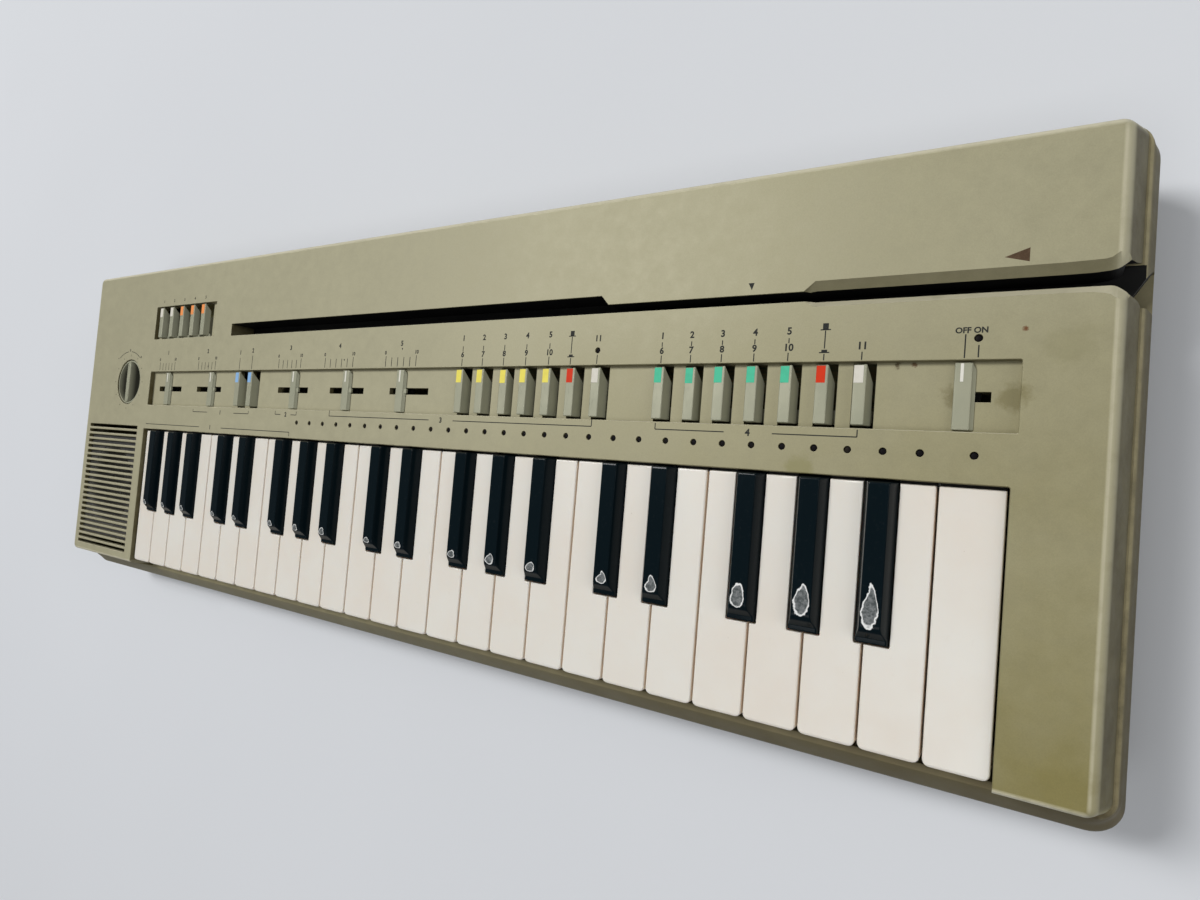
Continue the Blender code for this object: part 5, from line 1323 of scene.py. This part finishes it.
def box_opening(bm, low, high, bottom, corner, edge=SOFT_EDGE, top=0.0):
    """A cutter for a hole with round corners and a soft upper rim."""
    skin(bm, soft_rings(lambda z, out: round_rectangle(
        (low[0] - out, low[1] - out), (high[0] + out, high[1] + out), corner + out, z, 4
    ), bottom, top, edge))


def round_opening(bm, place, radius, bottom, edge, sides):
    """A cutter for a round hole with a soft upper rim."""
    skin(bm, soft_rings(lambda z, out: circle(place, radius + out, z, sides), bottom, 0.0, edge))


def slot_outline(z, out):
    """The card slot from above, with its step to the narrow part."""
    end = CREST_RIGHT + 0.020
    return [
        (SLOT_LEFT - out, SLOT_FRONT - out, z), (end, SLOT_FRONT - out, z),
        (end, SLOT_NARROW_BACK + out, z), (SLOT_STEP_END, SLOT_NARROW_BACK + out, z),
        (SLOT_STEP, SLOT_BACK + out, z), (SLOT_LEFT - out, SLOT_BACK + out, z),
    ]


def panel_openings():
    """Cutters for the keys, the tray, the box, the card slot, the grille, the lamps, the dial and sockets."""
    bm = bmesh.new()
    box_opening(bm, (-OPENING_SIDE, CREST_FRONT - 0.020), (KEYS_WIDTH + OPENING_SIDE, OPENING_BACK),
                -TOP_DEPTH - 3 * OVER, 0.0006, 0.0006)
    box_opening(bm, (TRAY_LEFT, TRAY_FRONT), (TRAY_RIGHT, TRAY_BACK), TRAY_FLOOR, 0.0004, 0.0005)
    box_opening(bm, (CARD_BOX_LEFT, CARD_BOX_FRONT), (CARD_BOX_RIGHT, CARD_BOX_BACK), TRAY_FLOOR,
                0.0004, 0.0003)
    skin(bm, soft_rings(slot_outline, -SLOT_DEPTH, 0.0, 0.0003))
    for i in range(GRILLE_SLOTS):
        y = GRILLE_FRONT + i * GRILLE_PITCH
        box_opening(bm, (GRILLE_LEFT, y - GRILLE_SLOT / 2), (GRILLE_RIGHT, y + GRILLE_SLOT / 2),
                    BELOW_PANEL, 0.0004, 0.0006)
    for place in lamp_places():
        round_opening(bm, place, LAMP_HOLE / 2, BELOW_PANEL, 0.00015, 24)
    round_opening(bm, (DIAL_X, DIAL_Y), DIAL_RADIUS + SLIDE, BELOW_PANEL, SOFT_EDGE, DIAL_SIDES)
    for x in SOCKET_X:
        skin(bm, [lying_ring(x, SOCKET_Z, SOCKET_RADIUS, CREST_BACK + y) for y in (-0.0045, 0.010)])
    return bm


# The middle and the length of each slider's slot
SLIDER_SLOTS = {
    "master": (0.0237, 0.0278), "chord": (0.0705, 0.0278), "arpeggio": (0.1578, 0.0278),
    "rhythm": (0.2050, 0.0278), "tempo": (0.2530, 0.0278), "power": (0.5085, 0.010),
}


def tray_openings():
    """The wells round the push buttons and the slots of the sliders, down through the tray."""
    bm = bmesh.new()
    for name, (front, back, colours, first, _) in BANKS.items():
        middles = [first + i * BUTTON_PITCH for i in range(len(colours.split()))]
        half = BUTTON_WIDTH / 2
        wells = [(x - half - BUTTON_LEAN / 4 - WELL_LEFT, x + half + BUTTON_LEAN + WELL_RIGHT)
                 for x in middles]
        if name == "card_buttons":
            wells = [(wells[0][0] - CARD_WELL_LEFT, wells[-1][1] + CARD_WELL_RIGHT)]
        for left, right in wells:
            block(bm, (left, front + 0.0001, BELOW_PAN), (right, back - 0.0001, TRAY_FLOOR + 0.001))
    for middle, length in SLIDER_SLOTS.values():
        low = (middle - length / 2, CONTROL_Y - SLOT_WIDTH / 2)
        high = (middle + length / 2, CONTROL_Y + SLOT_WIDTH / 2)
        box_opening(bm, low, high, BELOW_PAN, 0.0001, 0.00015, TRAY_FLOOR)
    return bm


def lip_section(x, front, front_foot, front_deep, back_foot, back_deep, back):
    """A section across the slot between its two leaning lips, upright below them."""
    deep = -SLOT_DEPTH + 0.0002
    return [
        (x, front_foot, deep), (x, front_foot, front_deep), (x, front, 0), (x, front - 0.0015, 0.004),
        (x, back + 0.0015, 0.004), (x, back, 0), (x, back_foot, back_deep), (x, back_foot, deep),
    ]


def slot_lips():
    """The lips along the narrow part of the slot: they rise out of a slant and curve away at the mouth."""
    bm = bmesh.new()
    middle = (SLOT_FRONT + SLOT_NARROW_BACK) / 2
    front, front_foot, back_foot, back = (middle + off for off in (-0.0010, -0.0009, 0.0009, 0.0010))
    rings = [lip_section(LIP_START, front, front_foot, -0.0001, back_foot, -0.0001, back)]
    rings.append(lip_section(LIP_START + LIP_RUN, *LIP_STATIONS[0][1:]))
    rings += [lip_section(CREST_RIGHT + beyond, *sizes) for beyond, *sizes in LIP_STATIONS]
    skin(bm, rings)
    return bm


def in_slot(centre, normal):
    """Whether a face lies down in the card slot, below its lips, or behind its mouth."""
    x, y, z = centre
    if x < SLOT_LEFT + 0.0002 or z < -0.0158:
        return False
    if x < CREST_RIGHT - 0.004:
        inside = SLOT_FRONT - 0.0002 < y < SLOT_BACK + 0.0002
        return inside and z < -0.0006 and abs(normal.z) < 0.3 or inside and z < -0.004
    if x > CREST_RIGHT + 0.0030 and normal.y > 0.3 or x > CREST_RIGHT + 0.0058:
        return False
    return 0.1480 < y < 0.1638 and (z < -0.0030 and abs(normal.z) < 0.35 or z < -0.0130)


def upper_case():
    """The upper case, cut out step by step."""
    case = carve(outer_top(), top_cavity())
    case = carve(case, panel_openings(), overlapping=True)
    case = carve(case, tray_openings())
    case = carve(case, slot_lips())
    return carve(case, mouth_notch())


upper = piece(upper_case(), "upper_case", "case", "case_paint", case_paint, "top_case")
# The dark bare plastic down in the slot also stands in for the shade there
unpainted(upper, in_slot)

# Printed marks
# Thin dark ink, screen printed on the panel: scales, leader lines and brackets, with plain numbers beside
# the controls. Only the power switch has words, for off and on.
INK_HEIGHT = 0.00004
LINE = 0.0004
INK = (0.022, 0.024, 0.022)
INK_FADED = (0.16, 0.15, 0.11)
ARROW_BROWN = (0.075, 0.045, 0.025)
ARROW_FADED = (0.15, 0.10, 0.06)
NUMBER_SIZE = 0.0036
SMALL_SIZE = 0.0026
TICK_FRONT = 0.1307
TICK_BACK = 0.1362
TICKS = 6
LEADER_FRONT = TICK_FRONT - 0.0003
# Where each slider's scale starts and ends, and where its number stands
SCALES = ((0.0135, 0.0323), (0.0613, 0.0806), (0.1468, 0.1673), (0.1888, 0.2120), (0.2376, 0.2596))
# Each bracket's left and right end, its line, the length of its feet, the gap for its number, and that
BRACKETS = (
    (0.0602, 0.1212, 0.1034, 0.0018, (0.0765, 0.1059), "1"),
    (0.1479, 0.1676, 0.1038, 0.0020, (0.1530, 0.1625), "2"),
    (0.1965, 0.3669, 0.1040, 0.0030, (0.2721, 0.2880), "3"),
    (0.3970, 0.4743, 0.1039, 0.0025, (0.4261, 0.4447), "4"),
)
# The long bracket over the lowest keys: its line, and where it starts and ends on both sides of its gap
LOW_BRACKET_Y = 0.0938
LOW_BRACKET = (0.0024, 0.0693, 0.0937, 0.1626)
SPOKES = 12
SPOKE_START = 0.0184
SPOKE_END = 0.0194
ARC_RADIUS = 0.0246
ARC_MIDDLE = (DIAL_X - 0.0020, 0.1200)

legend_ink, ink_tree, ink_shader, ink_place = start_finish("legend_ink", 0.6, 0.0, 0.1)
ink_faded = between(ink_tree, clouds(ink_tree, ink_place, 1400.0, 4.0, 0.7), 0.50, 0.75, 0.0, 0.22)
coloured(ink_tree, ink_shader, blended(ink_tree, ink_faded, INK, INK_FADED))
arrow_ink, arrow_tree, arrow_shader, arrow_place = start_finish("arrow_ink", 0.6, 0.0, 0.1)
arrow_faded = between(arrow_tree, clouds(arrow_tree, arrow_place, 900.0, 4.0, 0.7), 0.45, 0.8, 0.0, 0.6)
coloured(arrow_tree, arrow_shader, blended(arrow_tree, arrow_faded, ARROW_BROWN, ARROW_FADED))


def stroke(bm, start, end, width=LINE):
    """A straight printed line from start to end."""
    start, end = Vector(start), Vector(end)
    along = (end - start).normalized()
    side = Vector((-along.y, along.x)) * width / 2
    corners = (start - side, end - side, end + side, start + side)
    pushed(bm, [(corner.x, corner.y, -INK_HEIGHT / 2) for corner in corners], (0, 0, INK_HEIGHT))


def filled(bm, corners):
    """A printed shape between these corners."""
    pushed(bm, [(x, y, -INK_HEIGHT / 2) for x, y in corners], (0, 0, INK_HEIGHT))


def words(bm, text, x, y, size):
    """Printed text centred at x and y, in Blender's own plain letters."""
    curve = bpy.data.curves.new("printed", "FONT")
    curve.body = text
    curve.size = size
    curve.align_x = "CENTER"
    curve.align_y = "CENTER"
    curve.extrude = INK_HEIGHT / 2
    curve.offset = size * 0.034
    curve.resolution_u = 3
    shown = bpy.data.objects.new("printed", curve)
    bpy.context.scene.collection.objects.link(shown)
    evaluated = shown.evaluated_get(bpy.context.evaluated_depsgraph_get())
    drawn = bmesh.new()
    drawn.from_mesh(evaluated.to_mesh())
    evaluated.to_mesh_clear()
    bmesh.ops.translate(drawn, vec=(x, y, 0), verts=drawn.verts)
    kept = bpy.data.meshes.new("printed")
    drawn.to_mesh(kept)
    drawn.free()
    bm.from_mesh(kept)
    bpy.data.meshes.remove(kept)
    bpy.data.objects.remove(shown, do_unlink=True)
    bpy.data.curves.remove(curve)


def bracket(bm, left, right, y, feet, gap, number):
    """A bracket under a group of controls, open in the middle for its number."""
    stroke(bm, (left, y), (left, y + feet))
    stroke(bm, (right, y), (right, y + feet))
    stroke(bm, (left, y), (gap[0], y))
    stroke(bm, (gap[1], y), (right, y))
    words(bm, number, (gap[0] + gap[1]) / 2, y, NUMBER_SIZE)


def push_signs(bm, x, high, low):
    """The two signs for a button that is out and one that is in, joined by a line."""
    for y, rise in ((high, 0.0022), (low, 0.0009)):
        filled(bm, ((x - 0.0010, y), (x + 0.0010, y), (x + 0.0010, y + rise), (x - 0.0010, y + rise)))
        stroke(bm, (x - 0.0018, y - 0.0001), (x + 0.0018, y - 0.0001))
    stroke(bm, (x, low + 0.0013), (x, high - 0.0004))
    stroke(bm, (x, LEADER_FRONT), (x, low - 0.0006))


marks = bmesh.new()
for i, (left, right) in enumerate(SCALES):
    for tick in range(TICKS):
        x = left + (right - left) * tick / (TICKS - 1)
        stroke(marks, (x, TICK_FRONT), (x, TICK_BACK - (0.0007 if 0 < tick < TICKS - 1 else 0)))
    words(marks, "0", left - 0.0005, TICK_BACK + 0.0017, SMALL_SIZE)
    words(marks, "10", right, TICK_BACK + 0.0017, SMALL_SIZE)
    words(marks, str(i + 1), (left + right) / 2, 0.1425, NUMBER_SIZE)
for x, y in ((0.0724, 0.1326), (0.2048, 0.1346), (0.2491, 0.1396)):
    filled(marks, ((x - 0.0005, y + 0.0006), (x, y - 0.0006), (x + 0.0005, y + 0.0006)))
for i in range(5):
    for first, high, low, rest in ((RHYTHM_X, 0.1437, 0.1358, 0.0024), (VOICE_X, 0.1412, 0.1352, 0.0018)):
        x = first + i * BUTTON_PITCH
        words(marks, str(i + 1), x, high, NUMBER_SIZE)
        words(marks, str(i + 6), x, low, NUMBER_SIZE)
        stroke(marks, (x, low + 0.0017), (x, low + 0.0017 + rest))
        stroke(marks, (x, LEADER_FRONT), (x, low - 0.0018))
push_signs(marks, RHYTHM_X + 5 * BUTTON_PITCH - 0.0012, 0.1428, 0.1338)
push_signs(marks, VOICE_X + 5 * BUTTON_PITCH, 0.1414, 0.1333)
for i, (y, foot) in enumerate(((0.1398, 0.1376), (0.1408, 0.1388))):
    x = CHORD_X + i * BUTTON_PITCH - 0.0006
    words(marks, str(i + 1), x, y + 0.0010, NUMBER_SIZE)
    stroke(marks, (x, LEADER_FRONT), (x, foot))
words(marks, "11", START_LAMP[0], 0.1412, NUMBER_SIZE)
stroke(marks, (START_LAMP[0], LEADER_FRONT), (START_LAMP[0], 0.1343))
last_voice_x = VOICE_X + 6 * BUTTON_PITCH
words(marks, "11", last_voice_x, 0.1352, NUMBER_SIZE)
stroke(marks, (last_voice_x, LEADER_FRONT), (last_voice_x, 0.1332))
words(marks, "OFF", 0.5047, 0.1393, SMALL_SIZE)
words(marks, "ON", 0.5098, 0.1393, SMALL_SIZE)
stroke(marks, (0.5055, LEADER_FRONT), (0.5055, 0.1381))
stroke(marks, (0.5094, TICK_FRONT - 0.0001), (0.5094, 0.1346))
for sizes in BRACKETS:
    bracket(marks, *sizes)
left, gap_left, gap_right, right = LOW_BRACKET
stroke(marks, (left, LOW_BRACKET_Y), (gap_left, LOW_BRACKET_Y))
stroke(marks, (gap_right, LOW_BRACKET_Y), (right, LOW_BRACKET_Y))
stroke(marks, (right, LOW_BRACKET_Y), (right, LOW_BRACKET_Y - 0.0024))
words(marks, "1", (gap_left + gap_right) / 2, LOW_BRACKET_Y, NUMBER_SIZE)
for i in range(5):
    words(marks, str(i + 1), CARD_X + i * BUTTON_PITCH, CARD_BOX_BACK + 0.0034, SMALL_SIZE)
dial_middle = Vector((DIAL_X, DIAL_Y))
for i in range(SPOKES):
    turn = math.tau * i / SPOKES
    spoke = Vector((math.sin(turn), math.cos(turn)))
    stroke(marks, dial_middle + SPOKE_START * spoke, dial_middle + SPOKE_END * spoke)
for side in (-1, 1):
    turns = [side * math.radians(5 + 6 * step) for step in range(6)]
    arc = [Vector(ARC_MIDDLE) + ARC_RADIUS * Vector((math.sin(turn), math.cos(turn))) for turn in turns]
    for start, end in zip(arc, arc[1:]):
        stroke(marks, start, end)
    words(marks, "-" if side < 0 else "+", arc[-1].x + side * 0.0018, arc[-1].y, NUMBER_SIZE)
words(marks, "0", ARC_MIDDLE[0], 0.1455, SMALL_SIZE)
filled(marks, ((0.4316, 0.1600), (0.4339, 0.1600), (0.4330, 0.1573)))
piece(marks, "printed_marks", "case", "legend_ink", legend_ink)
arrow = bmesh.new()
filled(arrow, ((0.5150, 0.1621), (0.5218, 0.1646), (0.5218, 0.1602)))
piece(arrow, "printed_arrow", "case", "legend_ink", arrow_ink)

# Stage
# A plain pale floor, a soft key light from the left and behind, a wide weak light in front, a weak light
# from the right, and a camera set where the photograph was taken from.
FLOOR_TONE = (0.66, 0.675, 0.70)
FLOOR_CLOUD = tuple(0.98 * tone for tone in FLOOR_TONE)
BACKDROP = (0.84, 0.88, 0.92, 1.0)
BACKDROP_STRENGTH = 0.85
FADE_START = 0.8
FADE_END = 2.2
AMBIENT = (0.93, 0.96, 1.0, 1.0)
AMBIENT_STRENGTH = 0.18
# Each light's place, what it points at, its size and its power in watts
LIGHTS = {
    "key_light": ((-1.5, 1.2, 3.1), (0.05, 0, 0), (1.0, 1.0), 90.0),
    "fill_light": ((0.2, -1.0, 2.2), (0.1, 0, 0), (1.6, 0.8), 10.0),
    "edge_light": ((1.5, 0.25, 0.85), (0.3, 0, 0), (0.35, 1.0), 6.5),
}
CAMERA_PLACE = Vector((0.5283, 0.0836, 0.2506))
CAMERA_AHEAD = Vector((-0.5284, 0.0362, -0.8483))
CAMERA_UP = Vector((-0.0507, 0.9960, 0.0741))
CAMERA_LENS = 21.335

floor_finish, floor_tree, floor_shader, floor_place = start_finish("floor", 0.9, 0.0, 0.1)
floor_cloud = between(floor_tree, clouds(floor_tree, floor_place, 3.0, 2.0), 0.3, 0.7)
coloured(floor_tree, floor_shader, blended(floor_tree, floor_cloud, FLOOR_TONE, FLOOR_CLOUD))
far_away = node(floor_tree, "ShaderNodeVectorMath", {0: floor_place}, operation="LENGTH").outputs["Value"]
faded = times(floor_tree, between(floor_tree, far_away, FADE_START, FADE_END),
               node(floor_tree, "ShaderNodeLightPath").outputs["Is Camera Ray"])
glow = node(floor_tree, "ShaderNodeEmission", {"Color": BACKDROP, "Strength": BACKDROP_STRENGTH})
floor_shaders = {0: faded, 1: floor_shader.outputs[0], 2: glow.outputs[0]}
floor_mixed = node(floor_tree, "ShaderNodeMixShader", floor_shaders)
floor_tree.links.new(floor_mixed.outputs[0], floor_tree.nodes["Material Output"].inputs[0])
floor_bm = bmesh.new()
block(floor_bm, (-8, -8, -0.02), (8, 8, -0.0001))
floor_mesh = bpy.data.meshes.new("floor")
floor_bm.to_mesh(floor_mesh)
floor_bm.free()
floor_mesh.materials.append(floor_finish)
floor = bpy.data.objects.new("floor", floor_mesh)
bpy.context.scene.collection.objects.link(floor)


def soft_light(name, place, aim, size, power):
    """A plain white panel of light at place, turned to what it points at."""
    light = bpy.data.lights.new(name, "AREA")
    light.shape = "RECTANGLE"
    light.size, light.size_y = size
    light.energy = power
    lamp = bpy.data.objects.new(name, light)
    lamp.location = place
    lamp.rotation_euler = (Vector(aim) - Vector(place)).to_track_quat("-Z", "Y").to_euler()
    bpy.context.scene.collection.objects.link(lamp)


for name, sizes in LIGHTS.items():
    soft_light(name, *sizes)
world = bpy.data.worlds.new("studio")
world.use_nodes = True
world_tree = world.node_tree
ambient = world_tree.nodes["Background"]
ambient.inputs["Color"].default_value = AMBIENT
ambient.inputs["Strength"].default_value = AMBIENT_STRENGTH
backdrop = node(world_tree, "ShaderNodeBackground", {"Color": BACKDROP, "Strength": BACKDROP_STRENGTH})
seen = node(world_tree, "ShaderNodeLightPath").outputs["Is Camera Ray"]
shown = node(world_tree, "ShaderNodeMixShader", {0: seen, 1: ambient.outputs[0], 2: backdrop.outputs[0]})
world_tree.links.new(shown.outputs[0], world_tree.nodes["World Output"].inputs[0])
bpy.context.scene.world = world

camera = bpy.data.cameras.new("camera")
camera.lens = CAMERA_LENS
camera.sensor_width = 36
camera.clip_start = 0.01
viewer = bpy.data.objects.new("camera", camera)
right_hand = CAMERA_AHEAD.cross(CAMERA_UP).normalized()
upright = right_hand.cross(CAMERA_AHEAD).normalized()
turned = Matrix((right_hand, upright, -CAMERA_AHEAD.normalized())).transposed().to_4x4()
viewer.matrix_world = Matrix.Translation(PANEL + CAMERA_PLACE) @ turned
bpy.context.scene.collection.objects.link(viewer)
bpy.context.scene.camera = viewer
bpy.context.scene.view_settings.view_transform = "Standard"
